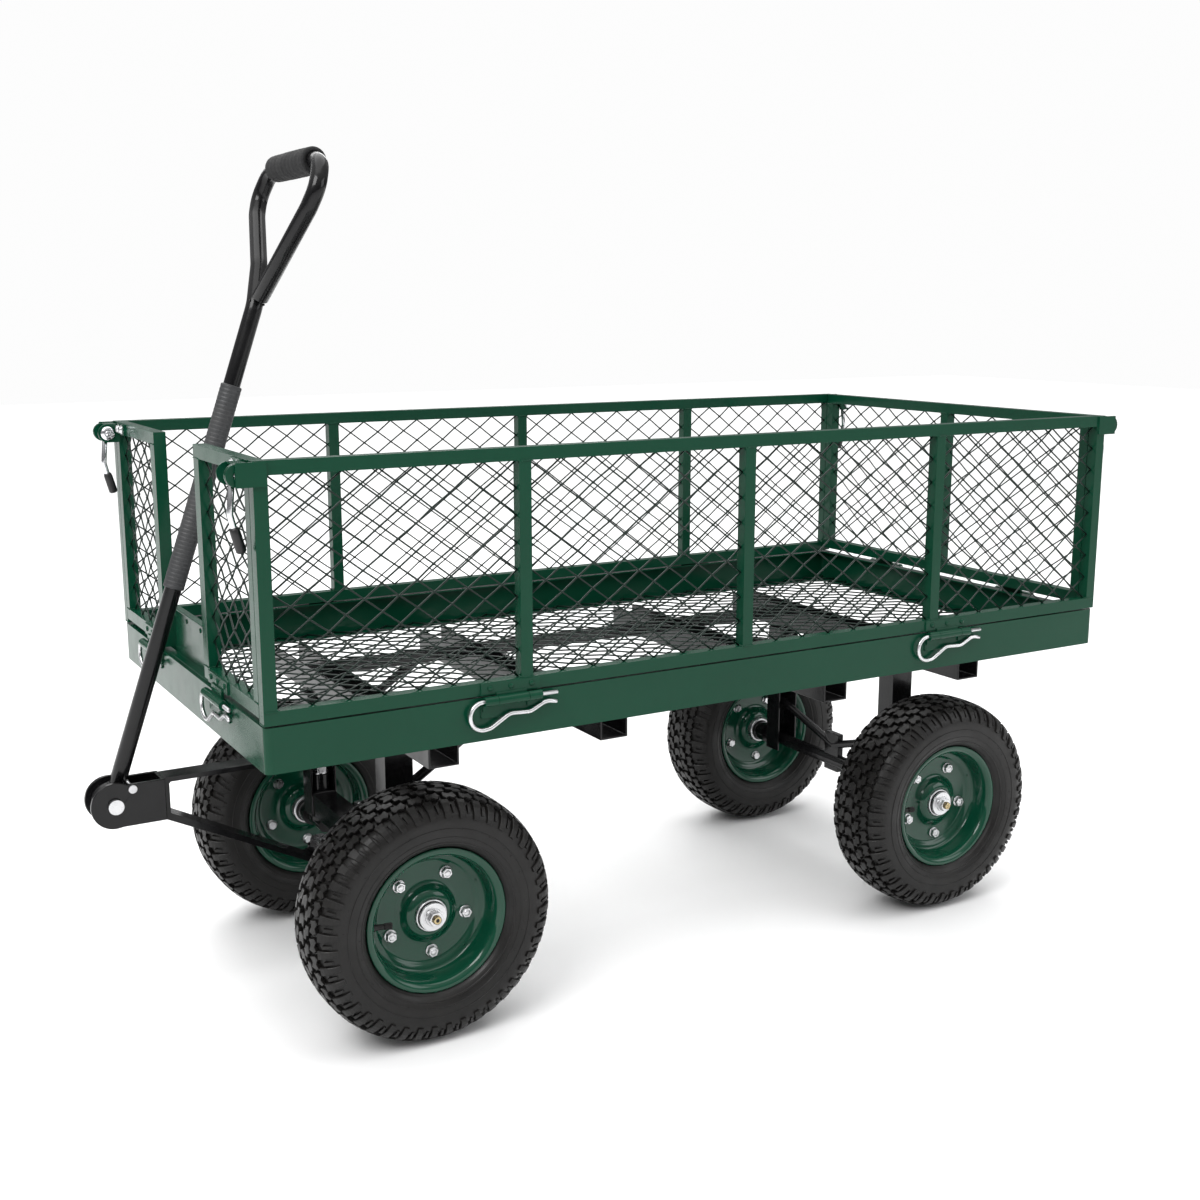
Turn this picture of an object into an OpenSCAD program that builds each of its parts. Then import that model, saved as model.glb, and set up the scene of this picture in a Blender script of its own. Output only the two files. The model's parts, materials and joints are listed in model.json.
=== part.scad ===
// Four-wheeled garden cart with a mesh-sided tray. Every side folds down.
// +X is forward, +Y is the cart's left, +Z is up. The origin is on the ground,
// under the middle of the whole cart. Distances ahead of or behind the middle are the tray's.

/* [Tray] */
// Length of the tray
tray_l = 1220; // [1160:10:1300]
// Width of the tray
tray_w = 610; // [590:5:650]
// Underside of the tray above the ground
tray_z = 376; // [370:1:390]
// Height of the folded rim
rim_h = 50; // [46:1:60]
// Thickness of the rim's sheet
rim_t = 2; // [1.5:0.5:3]
// Width of the rim's top lip
lip_w = 15; // [14:1:20]

/* [Side panels] */
// Height of the panels' top rails above the ground
panel_top = 702; // [680:2:740]
// Width of the square tube in the panels
bar = 15; // [14:1:16]
// Wall of the square tube
wall = 1.5; // [1:0.5:2]
// Gap between the long panels and the rim
side_gap = 2; // [2:1:4]
// Gap between the end panels and the rim
end_gap = 8; // [6:1:10]
// Pitch of the coarse lattice that stands for the wire mesh
mesh_pitch = 52; // [40:2:70]

/* [Front notch] */
// Clear width between the two front half panels
notch_w = 176; // [172:2:190]
// Width of the posts beside the notch
notch_post = 20; // [15:1:24]
// Height of the sill plate above the rim
sill_h = 63; // [40:1:64]

/* [Panel hinges] */
// Distance of the long panels' hinges from the middle
side_hinge_x = 327; // [250:1:340]
// Distance of the end panels' hinges from the middle
end_hinge_y = 146; // [140:1:180]
// Length of a hinge barrel
hinge_l = 74; // [60:1:80]
// Radius of the hairpin's wire
clip_r = 2.5; // [2:0.1:2.6]

/* [Wheels] */
// Radius of the tyres
tyre_r = 152; // [150:1:154]
// Width of the tyres
tyre_w = 98; // [90:1:98]
// Distance of a wheel's middle from the cart's middle
wheel_y = 218; // [216:1:222]
// Radius of the rim's flange
rim_r = 88; // [86:1:90]
// Radius of the bolt circle on the rim
bolt_circle_r = 51; // [48:1:53]

/* [Axles and steering] */
// Front axle ahead of the middle
front_x = 400; // [395:1:405]
// Rear axle behind the middle
rear_x = 394; // [380:1:405]
// Radius of the axles
axle_r = 10; // [9:0.5:10]
// radius of the threaded stud at the end of an axle
stud_r = 5; // [4:0.5:6]
// Distance of a kingpin from the cart's middle
kingpin_y = 136; // [134:1:138]
// Steering pivot ahead of the middle
steer_x = 450; // [448:1:455]
// Length of the steering arms
arm_l = 60; // [55:1:64]

/* [Handle] */
// Handle pivot ahead of the middle
pivot_x = 705; // [700:1:712]
// Height of the handle pivot
pivot_z = 274; // [270:1:278]
// Backward lean of the parked handle, in degrees
lean = 19.1; // [18:0.1:19.5]
// Distance from the pivot to the middle of the grip
grip_s = 785; // [760:5:820]
// Radius of the handle's tube
handle_r = 10; // [9:0.5:10]

/* [Hidden] */
$fn = 48;
green = "darkgreen";
black = [0.09, 0.09, 0.1];
zinc = [0.78, 0.78, 0.8];
rubber = [0.15, 0.15, 0.15];

rim_top = tray_z + rim_h;
end_half = tray_w / 2 - bar - 1;      // half width of the end panels, clear of the long panels
notch_half = notch_w / 2;
hinge_out = 6.5;                      // hinge axis outside the rim's face
hinge_z = rim_top - 3.5;
knuckle_r = 5.5;
knuckle_l = 38;                       // middle knuckle, on the panel
clip_bore = clip_r + 0.08;
fit = 0.05;                           // radial running clearance of pins and axles
channel_h = 35;
channel_w = 38;
channel_end = tray_w / 2 - 35;
stringer_h = 15;
post_x = 18;                          // half width of the wheel posts
post_in = 120;                        // inner edge of the posts' flanges
post_out = 151;                       // outer face of the posts
post_t = 2.5;
pin_tube_r = 13;
kingpin_r = 8;
post_top = tray_z - channel_h;
level_z = 161;                        // middle height of the steering plates
plate_t = 6;
steer_bolt_r = 8;
pin_r = 4;
fork_pin_y = 12;
fork_w = 30;
clevis_gap = 15;                      // half the gap between the clevis plates
clevis_t = 5;
clevis_back = 646;
clevis_z0 = 247;
clevis_z1 = 298;
latch_out = 15;                       // latch pin in front of the end panels
latch_z = panel_top - 14;
latch_r = 12;
latch_pin_r = 4;
latch_u = end_half - 4;               // the lever's arm across the cart
hub_r = 20;
nose_r = 28;                          // rounded front of the clevis plates
mid_x = (pivot_x + nose_r - tray_l / 2 - latch_out - latch_r) / 2;

// ---------- general shapes ----------

// round bar from a to b
module rod(a, b, r, fn = $fn) {
    v = b - a;
    translate(a)
        rotate([0, acos(v.z / norm(v)), atan2(v.y, v.x)])
            rotate([0, 0, 180 / fn]) cylinder(h = norm(v), r = r, $fn = fn);
}

// bent twelve-sided bar through a list of points, its flats just clear of a round bar of radius r;
// each piece reaches past its ends to close the corners
module wire(pts, r, past) {
    for (i = [0 : len(pts) - 2]) {
        v = (pts[i + 1] - pts[i]) / norm(pts[i + 1] - pts[i]);
        rod(pts[i] - v * past, pts[i + 1] + v * past, r / cos(15) + 0.03, 12);
    }
}

// cylinder along Y, from y0 to y1
module cyl_y(x, y0, y1, z, r, fn = $fn) {
    translate([x, y0, z])
        rotate([-90, 0, 0])
            cylinder(h = y1 - y0, r = r, $fn = fn);
}

// box from one corner to the opposite corner
module box(a, b) {
    translate(a) cube(b - a);
}

module rounded_rect(l, w, r) {
    square([l - 2 * r, w], center = true);
    square([l, w - 2 * r], center = true);
    for (sx = [-1, 1], sy = [-1, 1])
        translate([sx * (l / 2 - r), sy * (w / 2 - r)]) circle(r);
}

// from the tray's middle to the middle of the whole cart
module placed() {
    translate([-mid_x, 0, 0]) children();
}

// Each edge of the tray has its own frame: X along the edge, Y outwards from the rim's face.
module at_edge(edge) {
    placed() {
        if (edge == "left") translate([0, tray_w / 2, 0]) children();
        if (edge == "right") mirror([0, 1, 0]) translate([0, tray_w / 2, 0]) children();
        if (edge == "front") rotate([0, 0, -90]) translate([0, tray_l / 2, 0]) children();
        if (edge == "rear") rotate([0, 0, 90]) translate([0, tray_l / 2, 0]) children();
    }
}

// ---------- tray and chassis ----------

module ring(l, w, in_l, in_w, r, h) {
    linear_extrude(h)
        difference() {
            rounded_rect(l, w, r);
            square([in_l, in_w], center = true);
        }
}

module tray_rim() {
    flange = 25;
    placed() color(green) {
        translate([0, 0, tray_z])
            linear_extrude(rim_h)
                difference() {
                    rounded_rect(tray_l, tray_w, 8);
                    rounded_rect(tray_l - 2 * rim_t, tray_w - 2 * rim_t, 8 - rim_t);
                }
        translate([0, 0, rim_top - rim_t])
            ring(tray_l, tray_w, tray_l - 2 * lip_w, tray_w - 2 * lip_w, 8, rim_t);
        translate([0, 0, tray_z])
            ring(tray_l, tray_w, tray_l - 2 * flange, tray_w - 2 * flange, 8, rim_t);
    }
}

// lower half of a hinge, on the rim
module tray_leaf(u) {
    inset = 1.2;                      // keeps each outer knuckle clear of the clip's loop
    knuckle = (hinge_l - knuckle_l) / 2 - 0.4 - inset;
    difference() {
        union() {
            box([u - hinge_l / 2, 0, hinge_z - 20], [u + hinge_l / 2, 2, hinge_z - 5]);
            for (k = [u - hinge_l / 2 + inset, u + hinge_l / 2 - knuckle - inset]) {
                box([k, 0, hinge_z - 12], [k + knuckle, 3.8, hinge_z]);
                rod([k, hinge_out, hinge_z], [k + knuckle, hinge_out, hinge_z], knuckle_r);
            }
        }
        rod([u - 50, hinge_out, hinge_z], [u + 50, hinge_out, hinge_z], clip_bore);
    }
}

module tray_hinge_leaves() {
    color(green) {
        for (edge = ["left", "right"], s = [-1, 1])
            at_edge(edge) tray_leaf(s * side_hinge_x);
        for (edge = ["front", "rear"], s = [-1, 1])
            at_edge(edge) tray_leaf(s * end_hinge_y);
    }
}

module notch_sill() {
    half = notch_half - 0.5;
    color(green)
        at_edge("front") {
            box([-half, -lip_w, rim_top], [half, -lip_w + 2, rim_top + sill_h]);
            box([-half, -lip_w, rim_top + sill_h - 2], [half, -6, rim_top + sill_h]);
            box([-half, -lip_w, rim_top], [half, -4, rim_top + 2]);
        }
}

// lattice in the XY plane: a sheet l by w with diamond holes
module lattice(l, w, pitch, ratio, strand) {
    nx = ceil(l / pitch) + 1;
    ny = ceil(w / (pitch * ratio)) + 1;
    difference() {
        square([l, w], center = true);
        intersection() {
            square([l - 2 * strand, w - 2 * strand], center = true);
            for (i = [-nx : nx], j = [-ny : ny])
                if ((i + j) % 2 == 0)
                    translate([i * pitch / 2, j * pitch * ratio / 2])
                        polygon([
                            [pitch / 2 - strand, 0], [0, (pitch / 2 - strand) * ratio],
                            [strand - pitch / 2, 0], [0, (strand - pitch / 2) * ratio]
                        ]);
        }
    }
}

module tray_floor() {
    placed() color(green)
        translate([0, 0, tray_z + rim_t])
            linear_extrude(2)
                lattice(tray_l - 2 * rim_t - 6, tray_w - 2 * rim_t - 6, 110, 0.62, 3);
}

module cross_channels() {
    placed() color(black) {
        for (x = [-rear_x - 12, -170, 170, front_x - 6])
            difference() {
                box([x - channel_w / 2, -channel_end, post_top], [x + channel_w / 2, channel_end, tray_z]);
                box([x - channel_w / 2 + 2.5, -channel_end - 1, post_top + 2.5],
                    [x + channel_w / 2 - 2.5, channel_end + 1, tray_z + 1]);
            }
    }
}

// channel standing under the tray, open towards the cart's middle
module post(x, s, z0) {
    mirror([0, s > 0 ? 0 : 1, 0])
        difference() {
            box([x - post_x, post_in, z0], [x + post_x, post_out, post_top]);
            box([x - post_x + post_t, post_in - 1, z0 - 1],
                [x + post_x - post_t, post_out - post_t, post_top - post_t]);
        }
}

module front_posts() {
    placed() color(black)
        for (s = [-1, 1])
            difference() {
                union() {
                    post(front_x, s, 166);
                    translate([front_x, s * kingpin_y, 166]) cylinder(h = 57, r = pin_tube_r);
                }
                translate([front_x, s * kingpin_y, 160]) cylinder(h = 70, r = kingpin_r + fit);
            }
}

module rear_posts() {
    placed() color(black)
        difference() {
            for (s = [-1, 1])
                post(-rear_x, s, tyre_r - 15);
            cyl_y(-rear_x, -200, 200, tyre_r, axle_r);
        }
}

module front_beam() {
    nose_z = 168;
    placed() color(black)
        difference() {
            union() {
                box([front_x - 16, -post_in, nose_z], [front_x + 16, post_in, nose_z + 30]);
                box([front_x, -16, nose_z], [steer_x, 16, nose_z + plate_t]);
                translate([steer_x, 0, nose_z]) cylinder(h = plate_t, r = 16);
            }
            box([front_x - 13.5, -post_in - 1, nose_z + 8.5],
                [front_x + 13.5, post_in + 1, nose_z + 27.5]);
            translate([steer_x, 0, nose_z - 1]) cylinder(h = plate_t + 2, r = steer_bolt_r);
        }
}

// bracket and spacer that carry the upper steering bolt
module steering_head() {
    placed() color(black)
        difference() {
            union() {
                box([front_x - 20, -20, post_top - plate_t], [steer_x, 20, post_top]);
                translate([steer_x, 0, post_top - plate_t]) cylinder(h = plate_t, r = 20);
                translate([steer_x, 0, clevis_z1 + 0.6])
                    cylinder(h = post_top - plate_t - clevis_z1 - 0.6, r = 14);
            }
            translate([steer_x, 0, clevis_z1]) cylinder(h = 60, r = steer_bolt_r);
        }
}

// the fork turns on two short bolts, one above the other
module steering_bolts() {
    eye_z = clevis_z1 - plate_t;
    placed() color(zinc)
        translate([steer_x, 0, 0]) {
            translate([0, 0, eye_z - 13]) cylinder(h = post_top - eye_z + 13, r = steer_bolt_r);
            translate([0, 0, post_top]) cylinder(h = 9, r = 13, $fn = 6);
            translate([0, 0, eye_z - 3.1]) cylinder(h = 2.5, r = 15);
            translate([0, 0, eye_z - 11.1]) cylinder(h = 8, r = 13, $fn = 6);
            translate([0, 0, level_z - 18]) cylinder(h = 174 - level_z + 18, r = steer_bolt_r);
            translate([0, 0, 174]) cylinder(h = 8, r = 13, $fn = 6);
            translate([0, 0, level_z - 6.1]) cylinder(h = 2.5, r = 15);
            translate([0, 0, level_z - 16.1]) cylinder(h = 10, r = 13, $fn = 6);
        }
}

module stringer(x0, x1, s) {
    box([x0, s * kingpin_y - 10, tray_z - stringer_h], [x1, s * kingpin_y + 10, tray_z]);
}

module braces() {
    half = channel_w / 2;
    placed() color(black) {
        for (s = [-1, 1]) {
            stringer(-rear_x - 12 + half, -170 - half, s);
            stringer(-170 + half, 170 - half, s);
            stringer(170 + half, front_x - 6 - half, s);
            difference() {
                rod([front_x - 10, s * kingpin_y, 274], [246, s * kingpin_y, 368], 6);
                box([front_x - post_x, s * kingpin_y - 20, 240], [front_x + 20, s * kingpin_y + 20, 300]);
                box([200, s * kingpin_y - 20, tray_z - stringer_h], [300, s * kingpin_y + 20, 400]);
            }
        }
        difference() {
            union() {
                for (s = [-1, 1])
                    rod([-rear_x, s * (post_out + 4), 224], [-rear_x, 0, 176], 6);
                box([-rear_x - 5, -16, tyre_r - 16], [-rear_x + 5, 16, 196]);
            }
            for (y = [post_out - post_t, -post_out - 20])
                box([-rear_x - 20, y, 180], [-rear_x + 20, y + 20 + post_t, 260]);
            cyl_y(-rear_x, -30, 30, tyre_r, axle_r);
        }
    }
}

// ---------- axles and steering ----------

axle_end = wheel_y + 38;
axle_shoulder = wheel_y + 23;

module rear_axle() {
    placed() color(black)
        difference() {
            union() {
                cyl_y(-rear_x, -axle_shoulder, axle_shoulder, tyre_r, axle_r);
                cyl_y(-rear_x, -axle_end, axle_end, tyre_r, stud_r);
                for (s = [-1, 1])
                    cyl_y(-rear_x, s * 180 - 11, s * 180 + 11, tyre_r, 15);
            }
            for (s = [-1, 1])
                cyl_y(-rear_x, s * axle_end - 1, s * axle_end + 1, tyre_r, 2);
        }
}

// washer and flanged nut on the stud of an axle, in the wheel's own frame
module axle_nut() {
    difference() {
        union() {
            cyl_y(0, 23, 26, 0, 17);
            cyl_y(0, 26, 28, 0, 10.5);
            cyl_y(0, 28, 35, 0, 9.2, 6);
        }
        cyl_y(0, 20, 45, 0, stud_r);
    }
}

module at_wheel(x, s) {
    placed()
        mirror([0, s > 0 ? 0 : 1, 0])
            translate([x, wheel_y, tyre_r]) children();
}

module rear_axle_nuts() {
    color(zinc)
        for (s = [-1, 1])
            at_wheel(-rear_x, s) axle_nut();
}

module drawbar_fork() {
    h = plate_t / 2;
    knee = steer_x + 20;              // where the lower arm leaves the level plate
    rise = (clevis_z0 + 3 - level_z) / (clevis_back - 6 - knee);
    placed() color(black)
        difference() {
            union() {
                box([clevis_back - 6, -fork_w / 2, clevis_z0 - 1], [clevis_back, fork_w / 2, clevis_z1]);
                box([steer_x, -fork_w / 2, clevis_z1 - plate_t], [clevis_back, fork_w / 2, clevis_z1]);
                translate([steer_x, 0, clevis_z1 - plate_t]) cylinder(h = plate_t, r = 20);
                translate([0, fork_w / 2, 0])
                    rotate([90, 0, 0])
                        linear_extrude(fork_w)
                            polygon([
                                [steer_x, level_z - h], [knee + 1, level_z - h],
                                [clevis_back, clevis_z0 - 1], [clevis_back, clevis_z0 + 6],
                                [clevis_back - 6, clevis_z0 + 6], [knee - 1, level_z + h],
                                [steer_x, level_z + h]
                            ]);
                translate([steer_x, 0, level_z - h]) cylinder(h = plate_t, r = 22);
                box([steer_x - arm_l, -21, level_z - h], [steer_x, 21, level_z + h]);
                for (s = [-1, 1])
                    translate([steer_x - arm_l, s * fork_pin_y, level_z - h]) cylinder(h = plate_t, r = 9);
            }
            translate([steer_x, 0, 100]) cylinder(h = 250, r = steer_bolt_r + fit);
            for (s = [-1, 1])
                translate([steer_x - arm_l, s * fork_pin_y, 100]) cylinder(h = 100, r = pin_r);
        }
    placed() color(zinc)
        for (s = [-1, 1])
            translate([steer_x - arm_l, s * fork_pin_y, 0]) tie_pin();
}

// bolt that carries a tie rod's eye, hanging through a level plate
module tie_pin() {
    translate([0, 0, level_z - 17]) cylinder(h = 17 + 3, r = pin_r);
    translate([0, 0, level_z + 3]) cylinder(h = 3, r = 7, $fn = 6);
    translate([0, 0, level_z - 17]) cylinder(h = 5, r = 7, $fn = 6);
}

module clevis_plate() {
    rotate([90, 0, 0])
        linear_extrude(clevis_t)
            difference() {
                union() {
                    translate([clevis_back, clevis_z0])
                        square([pivot_x - clevis_back, clevis_z1 - clevis_z0]);
                    translate([pivot_x, pivot_z]) circle(nose_r);
                }
                translate([pivot_x, pivot_z]) circle(6);
            }
}

// the parked handle's back rests against this bolt
stop_s = 24;
stop_gap = handle_r + 3 + 0.5;
stop_x = pivot_x - stop_s * sin(lean) - stop_gap * cos(lean);
stop_z = pivot_z + stop_s * cos(lean) - stop_gap * sin(lean);

module clevis() {
    placed() color(black)
        difference() {
            union() {
                translate([0, clevis_gap + clevis_t, 0]) clevis_plate();
                translate([0, -clevis_gap, 0]) clevis_plate();
                box([clevis_back, -clevis_gap - 1, clevis_z0],
                    [clevis_back + 4, clevis_gap + 1, clevis_z1]);
            }
            cyl_y(stop_x, -40, 40, stop_z, 3);
        }
}

module handle_pivot_bolt() {
    out = clevis_gap + clevis_t;
    placed() color(zinc) {
        cyl_y(pivot_x, -out - 9, out, pivot_z, 6);
        cyl_y(pivot_x, out, out + 5, pivot_z, 9);
        cyl_y(pivot_x, -out - 9, -out, pivot_z, 10, 6);
        cyl_y(stop_x, -out, out, stop_z, 3);
        cyl_y(stop_x, out, out + 2.5, stop_z, 5);
        cyl_y(stop_x, -out - 4, -out, stop_z, 5.5, 6);
    }
}

// frame of the parked handle: Z runs from the pivot along the tube
module at_handle() {
    translate([pivot_x - mid_x, 0, pivot_z])
        rotate([0, -lean, 0])
            children();
}

module handle_tube() {
    neck = grip_s - 165;
    color(black)
        at_handle()
            difference() {
                union() {
                    cyl_y(0, -clevis_gap + 0.4, clevis_gap - 0.4, 0, 22);
                    translate([0, 0, 15]) cylinder(h = neck - 15, r = handle_r);
                    cyl_y(0, -72, 72, grip_s, handle_r);
                    wire([
                        [0, 0, neck - 3], [0, -28, grip_s - 122], [0, -96, grip_s - 56],
                        [0, -104, grip_s - 36], [0, -92, grip_s - 10], [0, -70, grip_s]
                    ], handle_r, 2);
                    wire([
                        [0, 70, grip_s], [0, 92, grip_s - 10], [0, 104, grip_s - 36],
                        [0, 96, grip_s - 56], [0, 17, grip_s - 157]
                    ], handle_r, 2);
                }
                cyl_y(0, -40, 40, 0, 6 + fit);
            }
}

module handle_sleeve() {
    color([0.3, 0.3, 0.31])
        at_handle()
            difference() {
                translate([0, 0, 265]) cylinder(h = 250, r = 12.5);
                translate([0, 0, 260]) cylinder(h = 260, r = handle_r);
            }
}

module handle_grip() {
    color(rubber)
        at_handle()
            difference() {
                cyl_y(0, -67, 67, grip_s, 15.5);
                cyl_y(0, -90, 90, grip_s, handle_r);
            }
}

// upright pin, stub axle and steering arm of one front wheel
module knuckle() {
    pin_out = kingpin_y + fork_pin_y;
    difference() {
        union() {
            translate([front_x, kingpin_y, level_z + 2.5])
                cylinder(h = 236 - level_z - 2.5, r = kingpin_r);
            cyl_y(front_x, kingpin_y - 19, axle_shoulder, tyre_r, axle_r);
            cyl_y(front_x, 200, axle_end, tyre_r, stud_r);
            cyl_y(front_x, 169, 191, tyre_r, 15);
            translate([front_x, kingpin_y, level_z - 3]) cylinder(h = 6, r = 16);
            arm_plate([front_x, kingpin_y], [front_x - arm_l, pin_out], 10);
        }
        translate([front_x - arm_l, pin_out, 100]) cylinder(h = 100, r = pin_r);
    }
}

// level plate from one point to the round end about another
module arm_plate(a, b, r) {
    v = b - a;
    translate([b.x, b.y, level_z - 3]) cylinder(h = 6, r = r);
    translate([a.x, a.y, level_z - 2.5])
        rotate([0, 0, atan2(v.y, v.x)])
            translate([4, 1 - r, 0]) cube([norm(v) - 4, 2 * r - 2, 5]);
}

module knuckle_hardware() {
    pin_out = kingpin_y + fork_pin_y;
    translate([front_x, kingpin_y, 0])
        difference() {
            union() {
                translate([0, 0, 223.5]) cylinder(h = 2, r = 12.5);
                translate([0, 0, 225.5]) cylinder(h = 7, r = 12, $fn = 6);
            }
            translate([0, 0, 220]) cylinder(h = 30, r = kingpin_r);
        }
    translate([front_x - arm_l, pin_out, 0]) tie_pin();
    translate([front_x, wheel_y, tyre_r]) axle_nut();
}

module left_knuckle() { placed() color(black) knuckle(); }
module right_knuckle() { placed() color(black) mirror([0, 1, 0]) knuckle(); }
module left_knuckle_hardware() { placed() color(zinc) knuckle_hardware(); }
module right_knuckle_hardware() { placed() color(zinc) mirror([0, 1, 0]) knuckle_hardware(); }

module tie_rod() {
    a = [steer_x - arm_l, fork_pin_y, level_z - 8];
    b = [front_x - arm_l, kingpin_y + fork_pin_y, level_z - 8];
    difference() {
        union() {
            rod(a, b, 5);
            for (p = [a, b])
                translate([p.x, p.y, level_z - 11.5]) cylinder(h = 8, r = 9);
        }
        for (p = [a, b])
            translate([p.x, p.y, 100]) cylinder(h = 100, r = pin_r + fit);
        box([300, -20, 100], [500, 200, level_z - 11.5]);
        box([300, -20, level_z - 3.5], [500, 200, 200]);
    }
}

module left_tie_rod() { placed() color(black) tie_rod(); }
module right_tie_rod() { placed() color(black) mirror([0, 1, 0]) tie_rod(); }

// ---------- wheels, in a frame with the axle along Y ----------

function sgn_pow(v, e) = sign(v) * pow(abs(v), e);
// rounded-square outline of the tyre's cross-section
function section(mid, a, b, t0, t1, n) = [
    for (i = [0 : n])
        let (t = t0 + (t1 - t0) * i / n)
            [mid + a * sgn_pow(sin(t), 0.75), b * sgn_pow(cos(t), 0.75)]
];

module spin_y() {
    rotate([-90, 0, 0])
        rotate_extrude($fn = 96)
            children();
}

module tyre() {
    mid = (tyre_r + rim_r - 8) / 2;
    half = tyre_r - mid;
    bead = 26;
    color(rubber) {
        spin_y()
            polygon(concat(
                [[rim_r - 8, bead + 9], [rim_r + 0.6, bead + 9.8]],
                section(mid, half, tyre_w / 2, -40, 220, 36),
                [[rim_r + 0.6, -bead - 9.8], [rim_r - 8, -bead - 9], [rim_r - 8, -bead]],
                section(mid, half - 8, tyre_w / 2 - 6, 212, -32, 24),
                [[rim_r - 8, bead]]
            ));
        rod([rim_r - 10, 20, 0], [rim_r - 38, 24.2, 0], 4);
    }
}

// pressed steel half of the rim, on the outer side
module rim_half(t) {
    well = rim_r - 8;
    spin_y()
        polygon([
            [hub_r, 16], [hub_r + 8, 14], [hub_r + 14, t], [well - 14, t], [well - 6, 8],
            [well - 0.3, 16], [well - 0.3, 35.5], [rim_r, 36.5], [rim_r, 39], [well - 3, 38.5],
            [well - 3, 17], [well - 8, 10 + t], [well - 15, 2 * t + 0.6], [hub_r + 15, 2 * t + 0.6],
            [hub_r + 9, 16.5], [hub_r, 18.5]
        ]);
}

module rim() {
    t = 2.4;
    difference() {
        union() {
            rim_half(t);
            mirror([0, 1, 0]) rim_half(t);
            difference() {
                cyl_y(0, -t, t, 0, rim_r - 24);
                cyl_y(0, -t - 1, t + 1, 0, hub_r + 16);
            }
        }
        for (i = [0 : 4])
            rotate([0, 72 * i + 24, 0])
                cyl_y(bolt_circle_r, -20, 20, 0, 4.2);
        rod([rim_r + 10, 17, 0], [rim_r - 40, 24.5, 0], 4.2);
    }
}

module hub() {
    t = 5.4;
    color(zinc) {
        difference() {
            cyl_y(0, -26.5, 22.5, 0, hub_r);
            cyl_y(0, -40, 40, 0, axle_r + fit);
        }
        for (i = [0 : 4])
            rotate([0, 72 * i + 24, 0]) {
                cyl_y(bolt_circle_r, -t - 5, t, 0, 4);
                cyl_y(bolt_circle_r, t, t + 5.5, 0, 7, 6);
                cyl_y(bolt_circle_r, -t - 5.5, -t, 0, 6.5, 6);
            }
    }
}

// ---------- folding panels ----------

// welded square-tube frame, from u0 to u1, with posts given as [start, width]
module tube_frame(u0, u1, z0, posts) {
    w = wall;
    difference() {
        union() {
            for (z = [z0, panel_top - bar])
                box([u0, -bar, z], [u1, 0, z + bar]);
            for (p = posts)
                box([p[0], -bar, z0], [p[0] + p[1], 0, panel_top]);
        }
        union() {
            for (z = [z0, panel_top - bar])
                box([u0 + w, w - bar, z + w], [u1 - w, -w, z + bar - w]);
            for (p = posts)
                box([p[0] + w, w - bar, z0 + w], [p[0] + p[1] - w, -w, panel_top - w]);
        }
    }
}

// flat lattice filling one bay of a frame, touching the tubes all round
module bay_mesh(u0, u1, z0) {
    l = u1 - u0;
    h = panel_top - bar - z0;
    pitch = l / round(l / mesh_pitch);
    ratio = h / round(h / 46) / pitch;
    translate([(u0 + u1) / 2, -bar / 2 + 1, z0 + h / 2])
        rotate([90, 0, 0])
            linear_extrude(2)
                lattice(l, h, pitch, ratio, 1.6);
}

// upper half of a hinge, on a panel's bottom rail
module panel_leaf(u, z0) {
    difference() {
        union() {
            box([u - hinge_l / 2, -1, z0], [u + hinge_l / 2, 2, z0 + bar - 1]);
            box([u - knuckle_l / 2, 0.6, hinge_z], [u + knuckle_l / 2, 3.8, z0 + 3]);
            translate([u - knuckle_l / 2, hinge_out, hinge_z])
                rotate([0, 90, 0]) cylinder(h = knuckle_l, r = knuckle_r);
        }
        rod([u - 50, hinge_out, hinge_z], [u + 50, hinge_out, hinge_z], clip_bore);
        box([u - 50, -4, z0], [u + 50, 0, z0 + bar]);
    }
}

// nose-shaped plate in the plane across u, from out0 to the rounded nose
module nose_plate(u0, u1, out0) {
    difference() {
        union() {
            box([u0, out0, latch_z - latch_r], [u1, latch_out, latch_z + latch_r]);
            translate([u0, latch_out, latch_z])
                rotate([0, 90, 0]) cylinder(h = u1 - u0, r = latch_r);
        }
        translate([u0 - 1, latch_out, latch_z])
            rotate([0, 90, 0]) cylinder(h = u1 - u0 + 2, r = latch_pin_r + 0.06);
    }
}

// bracket on an end panel's corner; s tells which end
module latch_bracket(s) {
    mirror([s < 0 ? 1 : 0, 0, 0]) {
        nose_plate(end_half - 19, end_half - 16.5, -1);
        nose_plate(end_half + 8, end_half + 10.5, 0.6);
        box([end_half - 19, 3, latch_z + 9.5], [end_half + 10.5, 17, latch_z + latch_r]);
        box([end_half - 54, -1, panel_top - bar], [end_half - 17, 2.5, panel_top - 1]);
    }
}

// keeper on the top end of a long panel
module latch_keeper(s) {
    e = tray_l / 2;
    mirror([s < 0 ? 1 : 0, 0, 0]) {
        translate([e, 0, 0])
            rotate([0, 0, -90])
                nose_plate(-1.5 - 2.5 + 5.5, 1.5 + 2.5, 0);
        box([e - 14, -1, latch_z - latch_r], [e + 18, 2.5, latch_z + latch_r + 1]);
        box([e - 1, -4, latch_z - latch_r], [e + 2.5, 2.5, latch_z + latch_r + 1]);
    }
}

module long_panel_frame() {
    e = tray_l / 2;
    z0 = rim_top + side_gap;
    bay = tray_l / 4;
    middle = [for (i = [-1 : 1]) [i * bay - bar / 2, bar]];
    tube_frame(-e, e, z0, concat([[-e, bar]], middle, [[e - bar, bar]]));
    for (s = [-1, 1]) {
        panel_leaf(s * side_hinge_x, z0);
        latch_keeper(s);
    }
}

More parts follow.
